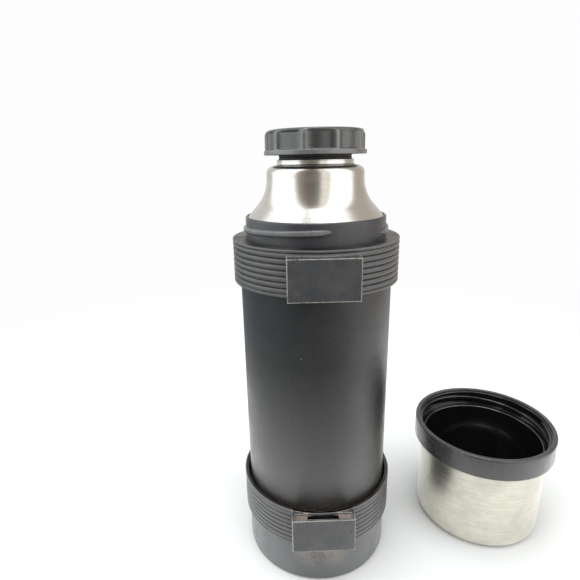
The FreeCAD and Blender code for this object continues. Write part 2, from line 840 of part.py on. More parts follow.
# ---------------------------------------------------------------- the cup


def cup_body(label):
    """A sub-part of the cup, which stands beside the flask."""
    body = new_body(label)
    body.Placement = FreeCAD.Placement(
        FreeCAD.Vector(number(cup_x), number(cup_offset), 0), FreeCAD.Rotation())
    body.setExpression("Placement.Base.x", formula(cup_x))
    body.setExpression("Placement.Base.y", formula(cup_offset))
    return body


def cup_shell():
    body = cup_body("cup_shell")
    inside = cup_shell_radius - cup_steel_wall
    shell_top = rim_z + rim_floor
    turned(body, outline(body, "Section", [
        (0, 0),
        (cup_shell_radius, 0, cup_shell_rounding),
        (cup_shell_radius, shell_top),
        (inside, shell_top),
        (inside, cup_steel_wall, cup_shell_rounding - cup_steel_wall),
        (0, cup_steel_wall),
    ]))


def cup_liner():
    """The bowl, a step out over the steel, and the threaded collar above it."""
    body = cup_body("cup_liner")
    under_step = rim_z + rim_floor + weld_gap
    step_z = under_step + liner_step_plate
    top = cup_height - rim_lip_depth - weld_gap
    bowl_under = liner_floor_z - liner_wall
    turned(body, outline(body, "Section", [
        (0, bowl_under),
        (liner_radius, bowl_under, liner_rounding),
        (liner_radius, under_step),
        (liner_rim_radius, under_step),
        (liner_rim_radius, top),
        (cup_bore_radius, top, liner_step_plate / 2),
        (cup_bore_radius, step_z),
        (liner_bore_radius, step_z, liner_step_plate / 2),
        (liner_bore_radius, liner_floor_z, liner_rounding - liner_wall),
        (0, liner_floor_z),
    ]))
    doc.recompute()
    thread(body, cup_bore_radius, cup_bore_radius - cup_ridge_height, cup_ridge_root,
           cup_ridge_crest, cup_height - cup_ridge_drop,
           cup_lead * cup_ridge_sweep / FULL_TURN, cup_lead, cup_ridge_start)


def cup_rim():
    """The ring that holds the steel and the liner together, with the cup's rounded edge."""
    body = cup_body("cup_rim")
    lip_bore = cup_bore_radius + rim_lip_step
    lip_under = cup_height - rim_lip_depth
    hook_radius = cup_shell_radius + weld_gap
    turned(body, outline(body, "Section", [
        (hook_radius, rim_z),
        (rim_radius, rim_z, rim_floor / 2),
        (rim_radius, cup_height, rim_rounding),
        (lip_bore, cup_height, rim_rounding / 2),
        (lip_bore, lip_under),
        (rim_bore_radius, lip_under),
        (rim_bore_radius, rim_z + rim_floor),
        (hook_radius, rim_z + rim_floor),
    ]))


# ---------------------------------------------------------------- build, check and write

outer_shell()
shoulder()
outer_bottom()
inner_bottle()
inner_bottom()
copper_foil()
getter()
vacuum_seal()
base_cap()
foot_pad()
band("lower_band", lower_band_z, 1, body_radius + weld_gap)
band("upper_band", upper_band_top, -1, collar_radius + weld_gap)
threaded_collar()
collar_seal()
stopper_knob()
stopper_plug()
plug_base_cap()
stopper_foam()
stopper_gasket()
cup_shell()
cup_liner()
cup_rim()
doc.recompute()

for item in doc.Objects:
    if "Invalid" in item.State or "Error" in item.State:
        raise RuntimeError(f"{item.Name} failed: {item.State}")

os.makedirs("parts", exist_ok=True)
for body in bodies:
    if body.Shape.isNull() or not body.Shape.isValid() or len(body.Shape.Solids) != 1:
        raise RuntimeError(f"{body.Label} is not one valid solid")
for body in bodies:
    body.Shape.exportStep(f"parts/{body.Label}.step")
    box = body.Shape.BoundBox
    print(f"{body.Label:16s} {body.Shape.Volume:10.0f} mm3  z {box.ZMin:6.1f} to {box.ZMax:6.1f}")
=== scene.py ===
import math

import bmesh
import bpy
from mathutils import Matrix, Vector


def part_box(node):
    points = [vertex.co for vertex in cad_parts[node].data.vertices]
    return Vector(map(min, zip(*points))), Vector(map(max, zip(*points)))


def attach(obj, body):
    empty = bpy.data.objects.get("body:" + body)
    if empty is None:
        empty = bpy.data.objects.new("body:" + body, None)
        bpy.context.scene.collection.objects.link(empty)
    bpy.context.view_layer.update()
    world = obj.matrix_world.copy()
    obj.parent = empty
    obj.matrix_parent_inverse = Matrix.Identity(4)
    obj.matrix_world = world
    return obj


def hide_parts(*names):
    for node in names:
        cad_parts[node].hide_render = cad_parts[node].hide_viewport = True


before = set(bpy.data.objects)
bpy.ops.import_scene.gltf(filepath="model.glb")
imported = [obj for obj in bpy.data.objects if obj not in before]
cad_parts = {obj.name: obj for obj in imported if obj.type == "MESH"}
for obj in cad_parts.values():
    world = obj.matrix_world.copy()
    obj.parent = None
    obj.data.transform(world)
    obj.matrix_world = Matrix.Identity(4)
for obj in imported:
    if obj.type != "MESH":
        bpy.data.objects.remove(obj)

MM = 0.001
FULL_TURN = 2 * math.pi
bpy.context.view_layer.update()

# ---- sizes, in millimetres


def reach(node):
    """How far a round node of the flask stands out from its axis."""
    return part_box(node)[1].x / MM


def half_across(node):
    """The radius of a round node of the cup, which stands off the flask's axis."""
    low_corner, high_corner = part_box(node)
    return (high_corner.x - low_corner.x) / 2 / MM


def low(node):
    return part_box(node)[0].z / MM


def high(node):
    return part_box(node)[1].z / MM


# Between pieces that are pressed together
PRESS_GAP = 0.05

# Steel flask
BODY_RADIUS = reach("outer_shell")
STEEL = 0.8
BOTTLE_WALL = 0.6
SHELF_WIDTH = 5.9
CONE_RUN = 12.0
CONE_ANGLE = math.radians(48.3)
CONE_DROP = 0.8
THROAT_HEIGHT = 14.9
CROWN_RUN = 6.4
CROWN_ANGLE = math.radians(15.0)
LIP_WIDTH = 1.9
LIP_Z = low("stopper_gasket")
SEAT_RADIUS = BODY_RADIUS - SHELF_WIDTH
THROAT_RADIUS = SEAT_RADIUS - CONE_RUN
LIP_RADIUS = THROAT_RADIUS - CROWN_RUN
NECK_BORE = LIP_RADIUS - LIP_WIDTH
BOTTLE_SLOPE = math.radians(50.7)
BOTTLE_TURN_DROP = 7.4
PAD_RADIUS = 40.0

# Bands
BAND_RADIUS = reach("upper_band")
BAND_WALL = 2.6
BAND_FLANGE = 2.0
BAND_EDGE = 1.3
BAND_LEAD_IN = 0.8
RIB_PITCH = 3.25
RIB_COUNT = 7
RIB_WIDTH = 3.1
RIB_HEIGHT = 1.1
SOCKET_WIDTH = 38.5
SOCKET_HEIGHT = 23.0
SOCKET_WALL = 1.5
SLOT_WIDTH = 19.3
SLOT_THICKNESS = 3.8
SLOT_DEPTH = 16.0
SLOT_FRONT = 2.6
HOLLOW_MARGIN = 2.0
HOLLOW_FRONT = 0.7
RECESS = 1.5
SOCKET_ROUNDING = 0.5
# Places in a band's list of materials, after 0, which the ring and its ribs have; place 2 holds the
# near-black painted shade inside the slot
SMOOTH, PAINTED_SHADE, DUSTY = 1, 2, 3

# Collar and the cup's thread
COLLAR_WALL = 1.4
COLLAR_FOOT = 2.1
COLLAR_RIDGE_LEVEL = 3.9
COLLAR_RADIUS = SEAT_RADIUS + COLLAR_WALL
CUP_LEAD = 10.6
RIDGE_HEIGHT = 1.5
COLLAR_RIDGE_WIDTH = 3.2
COLLAR_RIDGE_START = math.radians(145)
COLLAR_RIDGE_SWEEP = math.radians(132)
CUP_RIDGE_WIDTH = 2.6
CUP_RIDGE_START = math.radians(-19)
CUP_RIDGE_SWEEP = math.radians(200)

# Stopper
PLUG_LEAD = 10.0
PLUG_RIDGE_HEIGHT = 1.7
PLUG_RIDGE_WIDTH = 2.7
PLUG_RIDGE_SWEEP = math.radians(324)
PLUG_RIDGE_DROP = 17.0
PLUG_PLAY = 0.5
PLUG_WALL = 2.2
KNOB_FLANGE = 0.7
KNOB_FLANGE_HEIGHT = 2.6
KNOB_RADIUS = reach("stopper_knob") - KNOB_FLANGE
KNOB_WALL = 4.5
KNOB_TOP = 2.4
LOBES = 10
LOBE_START = math.radians(1.5)
SCOOP_DEPTH = 1.7
GASKET_WIDTH = 2.6
GASKET_GROOVE = 0.35

# Cup
cup_low, cup_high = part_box("cup_rim")
CUP_PLACE = Vector(((cup_low.x + cup_high.x) / 2, (cup_low.y + cup_high.y) / 2, 0)) / MM
CUP_HEIGHT = cup_high.z / MM
CUP_RIM_RADIUS = half_across("cup_rim")
CUP_BORE = COLLAR_RADIUS + RIDGE_HEIGHT + 0.6
CUP_STEEL = 0.7
CUP_RIDGE_DROP = 10.1
BOWL_INSET = 2.7
LINER_WALL = 1.6
LINER_STEP = 1.3
RIM_LIP = 0.4
RIM_SEAT = 1.95
RIM_LAP = 1.0
RIM_COVER = 2.1

# Camera
LENS = 27.42
SENSOR = 36.0
CAMERA_PLACE = Vector((-22.3, -271.5, 265.5)) * MM
CAMERA_DOWN = math.radians(16.56)
CAMERA_YAW = math.radians(-1.24)
CAMERA_ROLL = math.radians(-1.17)

# ---- node helpers

FLOAT, VECTOR, WHOLE = "NodeSocketFloat", "NodeSocketVector", "NodeSocketInt"
GEOMETRY, MATERIAL = "NodeSocketGeometry", "NodeSocketMaterial"


def feed(tree, node, inputs):
    """Links a node's inputs if they are sockets, and sets them if they are values."""
    for name, value in inputs.items():
        if isinstance(value, bpy.types.NodeSocket):
            tree.links.new(value, node.inputs[name])
        else:
            node.inputs[name].default_value = value


def add_node(tree, kind, inputs=None, **settings):
    node = tree.nodes.new(kind)
    for name, value in settings.items():
        setattr(node, name, value)
    feed(tree, node, inputs or {})
    return node


def result(tree, kind, inputs=None, **settings):
    """The first output of a new node."""
    return add_node(tree, kind, inputs, **settings).outputs[0]


def maths(tree, operation, first, second=0.0, third=0.0, clamp=False):
    inputs = {0: first, 1: second, 2: third}
    return result(tree, "ShaderNodeMath", inputs, operation=operation, use_clamp=clamp)


def times(tree, product, *factors, clamp=False):
    for factor in factors:
        product = maths(tree, "MULTIPLY", product, factor, clamp=clamp)
    return product


def span(tree, value, from_low, from_high, to_low=0.0, to_high=1.0, ease="LINEAR"):
    """Maps a range to another, clamped at both ends."""
    inputs = {"Value": value, "From Min": from_low, "From Max": from_high,
              "To Min": to_low, "To Max": to_high}
    return result(tree, "ShaderNodeMapRange", inputs, interpolation_type=ease)


def split(tree, vector):
    return add_node(tree, "ShaderNodeSeparateXYZ", {0: vector}).outputs


def combine(tree, **parts):
    return result(tree, "ShaderNodeCombineXYZ", parts)


def length(tree, vector):
    return add_node(tree, "ShaderNodeVectorMath", {0: vector}, operation="LENGTH").outputs["Value"]


def mix_colour(tree, factor, first, second, blend="MIX"):
    inputs = {0: factor, 6: first, 7: second}
    settings = {"data_type": "RGBA", "blend_type": blend}
    return add_node(tree, "ShaderNodeMix", inputs, **settings).outputs[2]


def noise(tree, place, scale, detail=3.0, rough=0.5):
    inputs = {"Vector": place, "Scale": scale, "Detail": detail, "Roughness": rough}
    return add_node(tree, "ShaderNodeTexNoise", inputs).outputs["Fac"]


def opaque(colour, shade=1.0):
    return (*[part * shade for part in colour], 1.0)


def grey(value):
    return (value, value, value, 1.0)


def new_tree(name, kind, inputs, outputs):
    """A node tree with named sockets, (name, socket kind, default), and its two open ends."""
    tree = bpy.data.node_groups.new(name, kind)
    for label, socket_kind, *default in inputs:
        socket = tree.interface.new_socket(label, in_out="INPUT", socket_type=socket_kind)
        if default:
            socket.default_value = default[0]
    for label, socket_kind in outputs:
        tree.interface.new_socket(label, in_out="OUTPUT", socket_type=socket_kind)
    return tree, tree.nodes.new("NodeGroupInput").outputs, tree.nodes.new("NodeGroupOutput").inputs


# ---- shared effects


def edge_wear_group():
    """Worn edges: where a rounded normal leaves the true one, broken up by noise."""
    group, given, made = new_tree("Edge wear", "ShaderNodeTree", [
        ("Position", VECTOR),
        ("Radius", FLOAT, 0.0006),
        ("Amount", FLOAT, 0.5),
    ], [("Wear", FLOAT)])
    rounded = add_node(group, "ShaderNodeBevel", {"Radius": given["Radius"]}, samples=4)
    true = add_node(group, "ShaderNodeNewGeometry").outputs["Normal"]
    both = {0: rounded.outputs[0], 1: true}
    alike = add_node(group, "ShaderNodeVectorMath", both, operation="DOT_PRODUCT").outputs["Value"]
    edge = span(group, alike, 0.995, 0.86)
    broken = noise(group, given["Position"], 900.0, 4.0, 0.6)
    patchy = noise(group, given["Position"], 70.0, 2.0)
    chips = span(group, maths(group, "ADD", broken, patchy), 0.72, 1.05)
    worn = times(group, edge, chips)
    group.links.new(times(group, worn, given["Amount"], clamp=True), made["Wear"])
    return group


def dust_group():
    """Fine dust and scuffs that lie unevenly over a moulding, and a few pale specks."""
    group, given, made = new_tree("Dust", "ShaderNodeTree", [
        ("Position", VECTOR),
        ("Scale", FLOAT, 60.0),
        ("Amount", FLOAT, 0.5),
    ], [("Dust", FLOAT), ("Specks", FLOAT)])
    place = given["Position"]
    cloud = noise(group, place, given["Scale"], 5.0, 0.65)
    fine = noise(group, place, 2600.0, 2.0, 0.6)
    dust_and_sheen_film = times(group, span(group, cloud, 0.42, 0.72), span(group, fine, 0.3, 0.7))
    group.links.new(times(group, dust_and_sheen_film, given["Amount"], clamp=True), made["Dust"])
    grains = add_node(group, "ShaderNodeTexVoronoi", {"Vector": place, "Scale": 420.0})
    chosen = add_node(group, "ShaderNodeSeparateColor", {"Color": grains.outputs["Color"]})
    dot = span(group, grains.outputs["Distance"], 0.12, 0.07)
    rare = span(group, chosen.outputs["Red"], 0.985, 0.99)
    group.links.new(times(group, dot, rare), made["Specks"])
    return group


def grain_group():
    """The fine texture of a moulded surface, as a bumped normal."""
    group, given, made = new_tree("Surface grain", "ShaderNodeTree", [
        ("Position", VECTOR),
        ("Scale", FLOAT, 1500.0),
        ("Depth", FLOAT, 0.00003),
        ("Strength", FLOAT, 0.3),
    ], [("Normal", VECTOR)])
    bump = add_node(group, "ShaderNodeBump", {
        "Strength": given["Strength"],
        "Distance": given["Depth"],
        "Height": noise(group, given["Position"], given["Scale"], 3.0, 0.55),
    })
    group.links.new(bump.outputs["Normal"], made["Normal"])
    return group


def brushed_group():
    """Fine lines that run round the piece, with longer scratches and handling marks."""
    group, given, made = new_tree("Round brushing", "ShaderNodeTree", [
        ("Position", VECTOR),
        ("Line scale", FLOAT, 2000.0),
        ("Depth", FLOAT, 0.00002),
    ], [("Lines", FLOAT), ("Streaks", FLOAT), ("Marks", FLOAT), ("Normal", VECTOR)])
    place = given["Position"]
    parts = split(group, place)
    stretched = combine(group, X=times(group, parts["X"], 60.0), Y=times(group, parts["Y"], 60.0),
                        Z=times(group, parts["Z"], given["Line scale"]))
    tilted = result(group, "ShaderNodeMapping", {
        "Vector": place, "Rotation": (0.0, 0.09, 0.0), "Scale": (55.0, 55.0, 640.0)})
    lines = noise(group, stretched, 1.0, 4.0, 0.7)
    bump = add_node(group, "ShaderNodeBump", {
        "Strength": 0.6, "Distance": given["Depth"], "Height": lines})
    group.links.new(lines, made["Lines"])
    group.links.new(noise(group, tilted, 1.0, 5.0, 0.72), made["Streaks"])
    group.links.new(noise(group, place, 45.0, 6.0, 0.7), made["Marks"])
    group.links.new(bump.outputs["Normal"], made["Normal"])
    return group


EDGE_WEAR = edge_wear_group()
DUST = dust_group()
GRAIN = grain_group()
BRUSHED = brushed_group()


def use_group(tree, group, **inputs):
    """Places a shared effect in a material, with its own values."""
    return add_node(tree, "ShaderNodeGroup", inputs, node_tree=group).outputs


# ---- materials

# Levels on the body, in metres, between which the dirt, and a paler film of painted floor sheen,
# fade away upwards
GRUBBY_TOP, GRUBBY_FOOT = 0.066, 0.0555
SHEEN_TOP, SHEEN_FULL = 0.15, 0.07
# On downward faces: how far a normal tips before the shade starts, and where it is full
UNDERSIDE_START, UNDERSIDE_FULL = -0.1, -0.6


def new_material(name):
    """A material with its node tree, its shader and its object coordinates."""
    material = bpy.data.materials.new(name)
    material.use_nodes = True
    tree = material.node_tree
    shader = tree.nodes["Principled BSDF"]
    place = add_node(tree, "ShaderNodeTexCoord").outputs["Object"]
    return material, tree, shader, place


def relief_painted_light(tree, place, base, valley, crest, dark, light):
    """Painted shade in the valleys and on undersides, and crests lightened, partly as rub wear and
    partly as a painted highlight. valley and crest are radii.
    """
    parts = split(tree, place)
    out = length(tree, combine(tree, X=parts["X"], Y=parts["Y"]))
    middle = (valley + crest) / 2 * MM
    uneven = span(tree, noise(tree, place, 160.0, 4.0), 0.3, 0.6, 0.75, 1.0)
    # painted shade: darker as the surface sinks towards the valleys between ribs
    shaded_valleys = mix_colour(tree, span(tree, out, middle, valley * MM, 0.0, 0.9), base, grey(dark))
    # crests lightened, partly rub wear and partly a painted highlight
    rubbed = times(tree, span(tree, out, middle, crest * MM), uneven)
    toned = mix_colour(tree, rubbed, shaded_valleys, grey(light))
    upwards = split(tree, add_node(tree, "ShaderNodeNewGeometry").outputs["Normal"])["Z"]
    # painted shade on faces that tip downwards
    under = span(tree, upwards, UNDERSIDE_START, UNDERSIDE_FULL, 0.0, 0.85)
    return mix_colour(tree, under, toned, grey(0.003))


def moulding(name, colour, worn_colour, dust_colour, roughness, wear=0.5, dust=0.4,
             dust_scale=60.0, grain_depth=0.00003, edge=0.0006, gloss=0.5, relief=None):
    """A moulded plastic with dust, grain and worn edges, and relief's two radii and two tones,
    which paint shade into valleys and undersides and lighten crests.
    """
    material, tree, shader, place = new_material(name)
    grain = use_group(tree, GRAIN, Position=place, Depth=grain_depth)
    dirt = use_group(tree, DUST, Position=place, Scale=dust_scale, Amount=dust)
    worn = use_group(tree, EDGE_WEAR, Position=place, Radius=edge, Amount=wear)["Wear"]
    mottle = span(tree, noise(tree, place, 25.0, 4.0), 0.3, 0.7, 0.82, 1.18)
    mottled = result(tree, "ShaderNodeCombineColor", {
        "Red": mottle, "Green": mottle, "Blue": mottle})
    base = mix_colour(tree, 1.0, opaque(colour), mottled, "MULTIPLY")
    # relief paints shade into valleys and undersides and lightens crests
    if relief:
        base = relief_painted_light(tree, place, base, *relief)
    dusty = mix_colour(tree, dirt["Dust"], base, opaque(dust_colour))
    edged = mix_colour(tree, worn, dusty, opaque(worn_colour))
    uneven = span(tree, noise(tree, place, 130.0, 4.0), 0.3, 0.7,
                  roughness - 0.07, roughness + 0.07)
    feed(tree, shader, {
        "Base Color": mix_colour(tree, times(tree, dirt["Specks"], 0.4), edged, grey(0.45)),
        "Roughness": maths(tree, "ADD", uneven, times(tree, dirt["Dust"], 0.25), clamp=True),
        "Normal": grain["Normal"],
        "Specular IOR Level": gloss,
    })
    return material


def powder_coat():
    """Black powder coat with a fine orange peel, pale chips, dust, dirt near its foot, and a
    painted floor sheen that pales it towards the lower band.
    """
    material, tree, shader, place = new_material("Black powder coat")
    cells = add_node(tree, "ShaderNodeTexVoronoi", {"Vector": place, "Scale": 900.0},
                     feature="SMOOTH_F1").outputs["Distance"]
    peel = noise(tree, place, 1400.0, 3.0, 0.6)
    bump = add_node(tree, "ShaderNodeBump", {
        "Strength": 0.9, "Distance": 0.00016,
        "Height": maths(tree, "ADD", times(tree, cells, 0.6), peel)})
    dirt = use_group(tree, DUST, Position=place, Scale=35.0, Amount=0.35)
    base = mix_colour(tree, span(tree, peel, 0.35, 0.7), (0.003, 0.003, 0.0035, 1),
                      (0.009, 0.009, 0.0095, 1))
    heights = split(tree, place)["Z"]
    near_base = span(tree, heights, GRUBBY_TOP, GRUBBY_FOOT)
    speckle = span(tree, noise(tree, place, 1100.0, 3.0, 0.7), 0.46, 0.60)
    patches = span(tree, noise(tree, place, 90.0, 4.0), 0.35, 0.6, 0.35, 1.0)
    grubby = times(tree, near_base, speckle, patches)
    # painted reflection: a paler film low on the body stands for the floor's sheen
    dust_and_sheen_film = times(tree, span(tree, heights, SHEEN_TOP, SHEEN_FULL),
                 span(tree, heights, 0.057, 0.075, 0.15, 0.95))
    with_floor_sheen = mix_colour(tree, dust_and_sheen_film, base, (0.045, 0.044, 0.043, 1))
    dusty = mix_colour(tree, dirt["Dust"], with_floor_sheen, (0.035, 0.035, 0.036, 1))
    lower = mix_colour(tree, times(tree, grubby, 0.6), dusty, (0.075, 0.056, 0.046, 1))
    uneven = span(tree, noise(tree, place, 60.0, 4.0), 0.3, 0.7, 0.30, 0.40)
    feed(tree, shader, {
        "Base Color": mix_colour(tree, dirt["Specks"], lower, grey(0.22)),
        "Roughness": maths(tree, "ADD", uneven, times(tree, grubby, 0.3)),
        "Normal": bump.outputs["Normal"],
        "Specular IOR Level": 0.5,
    })
    return material


def brushed_steel(name, colour, low_rough, high_rough, stain, streaks=0.15):
    """Satin stainless steel, brushed round its own axis."""
    material, tree, shader, place = new_material(name)
    marks = use_group(tree, BRUSHED, Position=place)
    tint = mix_colour(tree, span(tree, marks["Marks"], 0.35, 0.7),
                      opaque(colour), opaque(colour, stain))
    streaked = mix_colour(tree, span(tree, marks["Streaks"], 0.42, 0.66, 0.0, streaks),
                          tint, opaque(colour, 0.55))
    both = maths(tree, "ADD", times(tree, marks["Lines"], 0.6), times(tree, marks["Marks"], 0.4))
    feed(tree, shader, {
        "Base Color": mix_colour(tree, span(tree, marks["Lines"], 0.3, 0.75, 0.0, 0.25),
                                 streaked, grey(0.42)),
        "Roughness": span(tree, both, 0.3, 0.7, low_rough, high_rough),
        "Normal": marks["Normal"],
        "Metallic": 1.0,
    })
    return material


def plain_finish(name, colour, roughness, metallic=0.0, grain_scale=800.0):
    """A simple finish for hidden and soft pieces, with uneven tone and grain."""
    material, tree, shader, place = new_material(name)
    tone = span(tree, noise(tree, place, 80.0, 4.0), 0.3, 0.7)
    feed(tree, shader, {
        "Base Color": mix_colour(tree, tone, opaque(colour, 0.85), opaque(colour)),
        "Roughness": span(tree, tone, 0, 1, roughness - 0.05, roughness + 0.05),
        "Normal": use_group(tree, GRAIN, Position=place, Scale=grain_scale)["Normal"],
        "Metallic": metallic,
    })
    return material


def base_cap_plastic():
    """Smooth dark moulding, with brown dust rubbed in under the handle socket."""
    material = moulding("Base cap moulding", (0.062, 0.065, 0.068), (0.16, 0.15, 0.15),
                        (0.10, 0.09, 0.085), 0.42, wear=0.35, dust=0.25, edge=0.0004)
    tree = material.node_tree
    shader = tree.nodes["Principled BSDF"]
    place = add_node(tree, "ShaderNodeTexCoord").outputs["Object"]
    parts = split(tree, place)
    across = span(tree, maths(tree, "ABSOLUTE", parts["X"]), 0.019, 0.010)
    upright = span(tree, parts["Z"], 0.010, 0.024)
    front = span(tree, parts["Y"], -0.035, -0.042)
    blotch = times(tree, span(tree, noise(tree, place, 110.0, 5.0, 0.6), 0.32, 0.52),
                   span(tree, noise(tree, place, 1300.0, 3.0, 0.8), 0.42, 0.56))
    smudge = times(tree, across, upright, front, blotch, 0.9)
    clean = shader.inputs["Base Color"].links[0].from_socket
    feed(tree, shader, {"Base Color": mix_colour(tree, smudge, clean, (0.26, 0.21, 0.175, 1))})
    return material


MATERIALS = {
    "paint": powder_coat(),
    "neck": brushed_steel("Brushed neck steel", (0.76, 0.73, 0.69), 0.16, 0.30, 0.86),
    "cup": brushed_steel("Brushed cup steel", (0.46, 0.44, 0.375), 0.22, 0.40, 0.72, 0.34),
    "steel": plain_finish("Drawn steel", (0.62, 0.61, 0.60), 0.32, metallic=1.0),
    # relief: radii and tones of the painted shade in valleys and undersides, and of crests
    # lightened partly by wear and partly as painted highlight
    "band": moulding("Band moulding", (0.028, 0.028, 0.030), (0.38, 0.36, 0.34),
                     (0.12, 0.11, 0.10), 0.36, wear=0.3, dust=0.4, gloss=0.4,
                     relief=(BAND_RADIUS - 1.0, BAND_RADIUS - 0.25, 0.002, 0.066)),
    "socket": moulding("Handle socket moulding", (0.026, 0.028, 0.031), (0.42, 0.39, 0.35),
                       (0.13, 0.115, 0.10), 0.27, wear=1.8, dust=0.35, dust_scale=110.0,
                       edge=0.0009),
    # painted shade: near-black, for faces seen only deep inside the handle's slot
    "inside": plain_finish("Painted shade in socket", (0.001, 0.001, 0.001), 0.95),
    "recess": moulding("Dusty recess floor", (0.11, 0.092, 0.08), (0.11, 0.092, 0.08),
                       (0.22, 0.185, 0.16), 0.75, wear=0.0, dust=0.9, dust_scale=260.0, gloss=0.2),
    "base": base_cap_plastic(),
    "collar": moulding("Collar moulding", (0.022, 0.022, 0.026), (0.24, 0.24, 0.24),
                       (0.10, 0.10, 0.10), 0.30, wear=0.45, dust=0.25,
                       relief=(COLLAR_RADIUS - 1.7, COLLAR_RADIUS + RIDGE_HEIGHT, 0.016, 0.115)),
    "knob": moulding("Knob moulding", (0.036, 0.035, 0.037), (0.26, 0.25, 0.25),
                     (0.12, 0.11, 0.105), 0.27, wear=0.6, dust=0.35, edge=0.0005, gloss=0.95,
                     relief=(KNOB_RADIUS - 1.7, KNOB_RADIUS + 0.1, 0.016, 0.10)),
    "rim": moulding("Cup rim moulding", (0.030, 0.030, 0.031), (0.17, 0.16, 0.155),
                    (0.12, 0.11, 0.10), 0.27, wear=0.6, dust=0.18, edge=0.0005, gloss=0.55),
    "plug": moulding("Plug moulding", (0.040, 0.040, 0.042), (0.10, 0.10, 0.10),
                     (0.08, 0.075, 0.07), 0.42, wear=0.2, dust=0.1),
    "liner": moulding("Cup liner moulding", (0.004, 0.004, 0.0045), (0.03, 0.03, 0.03),
                      (0.05, 0.05, 0.05), 0.10, wear=0.1, dust=0.06, grain_depth=0.000006,
                      gloss=1.0),
    "silicone": plain_finish("Silicone", (0.022, 0.022, 0.024), 0.55),
    "rubber": plain_finish("Foot rubber", (0.035, 0.035, 0.035), 0.7),
    "copper": plain_finish("Copper foil", (0.72, 0.40, 0.24), 0.3, metallic=1.0),
    "getter": plain_finish("Getter alloy", (0.30, 0.30, 0.31), 0.6, metallic=1.0),
    "resin": plain_finish("Seal resin", (0.30, 0.27, 0.22), 0.5),
    "foam": plain_finish("Rigid foam", (0.82, 0.76, 0.55), 0.9, grain_scale=2500.0),
}

# ---- mesh helpers

SIDES, SMALL_SIDES, KNOB_SIDES = 256, 192, 360
SHARP_BEND = math.radians(32)


def rounded(corners, steps):
    """Points (r, z) of a closed section. A corner (r, z, rounding) becomes an arc."""
    points = []
    count = len(corners)
    for index, corner in enumerate(corners):
        spot = Vector(corner[:2])
        if len(corner) == 2:
            points.append(spot)
            continue
        back = (Vector(corners[index - 1][:2]) - spot).normalized()
        ahead = (Vector(corners[(index + 1) % count][:2]) - spot).normalized()
        half = back.angle(ahead) / 2
        centre = spot + (back + ahead).normalized() * (corner[2] / math.sin(half))
        first = spot + back * (corner[2] / math.tan(half)) - centre
        turn = first.angle_signed(spot + ahead * (corner[2] / math.tan(half)) - centre)
        for step in range(steps + 1):
            angle = -turn * step / steps
            points.append(centre + Matrix.Rotation(angle, 2) @ first)
    return points


def add_object(name, data):
    item = bpy.data.objects.new(name, data)
    bpy.context.scene.collection.objects.link(item)
    return item


def mesh_to_object(name, work):
    mesh = bpy.data.meshes.new(name)
    work.to_mesh(mesh)
    work.free()
    return add_object(name, mesh)


def mesh_object(name, work):
    """Turns a bmesh in millimetres into an object in metres, smooth except at sharp bends."""
    bmesh.ops.remove_doubles(work, verts=work.verts, dist=1e-4)
    bmesh.ops.recalc_face_normals(work, faces=work.faces)
    for face in work.faces:
        face.smooth = True
    for edge in work.edges:
        edge.smooth = edge.is_manifold and edge.calc_face_angle(0) < SHARP_BEND
    bmesh.ops.scale(work, vec=(MM, MM, MM), verts=work.verts)
    return mesh_to_object(name, work)


def lathe(name, corners, steps=8, sides=SIDES, centre=(0, 0)):
    """A closed ring or dome: a section turned about an upright axis."""
    work = bmesh.new()
    angles = [FULL_TURN * side / sides for side in range(sides)]
    rings = []
    for radius, level in rounded(corners, steps):
        if abs(radius) < 1e-6:
            rings.append([work.verts.new((centre[0], centre[1], level))])
            continue
        rings.append([work.verts.new((centre[0] + radius * math.cos(angle),
                                      centre[1] + radius * math.sin(angle), level))
                      for angle in angles])
    for index, ring in enumerate(rings):
        following = rings[(index + 1) % len(rings)]
        if len(ring) == 1 and len(following) == 1:
            continue
        for side in range(sides):
            after = (side + 1) % sides
            corners_of_face = [
                ring[side % len(ring)], ring[after % len(ring)],
                following[after % len(following)], following[side % len(following)]]
            work.faces.new(list(dict.fromkeys(corners_of_face)))
    return mesh_object(name, work)


def block(name, low_corner, high_corner):
    """An upright box between two corners."""
    work = bmesh.new()
    size = Vector(high_corner) - Vector(low_corner)
    middle = (Vector(high_corner) + Vector(low_corner)) / 2
    matrix = Matrix.Translation(middle) @ Matrix.Diagonal((*size, 1))
    bmesh.ops.create_cube(work, size=1, matrix=matrix)
    return mesh_object(name, work)


def finished(piece):
    """Applies all of the piece's modifiers, so that a plain mesh is left."""
    bpy.context.view_layer.update()
    seen = piece.evaluated_get(bpy.context.evaluated_depsgraph_get())
    mesh = bpy.data.meshes.new_from_object(seen)
    piece.modifiers.clear()
    piece.data = mesh
    return piece


def cut_away(piece, tools):
    """Cuts the tools out of a piece and removes them."""
    for tool in tools:
        cut = piece.modifiers.new("Cut", "BOOLEAN")
        cut.operation, cut.solver, cut.object = "DIFFERENCE", "EXACT", tool
    finished(piece)
    for tool in tools:
        bpy.data.objects.remove(tool)
    return piece


def soften(piece, width):
    """Rounds the piece's sharp edges."""
    bevel = piece.modifiers.new("Rounding", "BEVEL")
    bevel.width, bevel.segments = width * MM, 3
    bevel.limit_method, bevel.angle_limit = "ANGLE", math.radians(40)
    finished(piece)
    for face in piece.data.polygons:
        face.use_smooth = True
    return piece


def joined(name, parts):
    """Joins meshes, all at the origin, into one piece."""
    work = bmesh.new()
    for part in parts:
        work.from_mesh(part.data)
        bpy.data.objects.remove(part)
    return mesh_to_object(name, work)


def fit(piece, body, finishes, nodes):
    """Gives a finished piece its materials, its body, and the nodes that it stands for."""
    for name in finishes.split():
        piece.data.materials.append(MATERIALS[name])
    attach(piece, body)
    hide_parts(*nodes)


# ---- geometry node trees

SECTION_POINTS = 24
HELIX_POINTS = 160


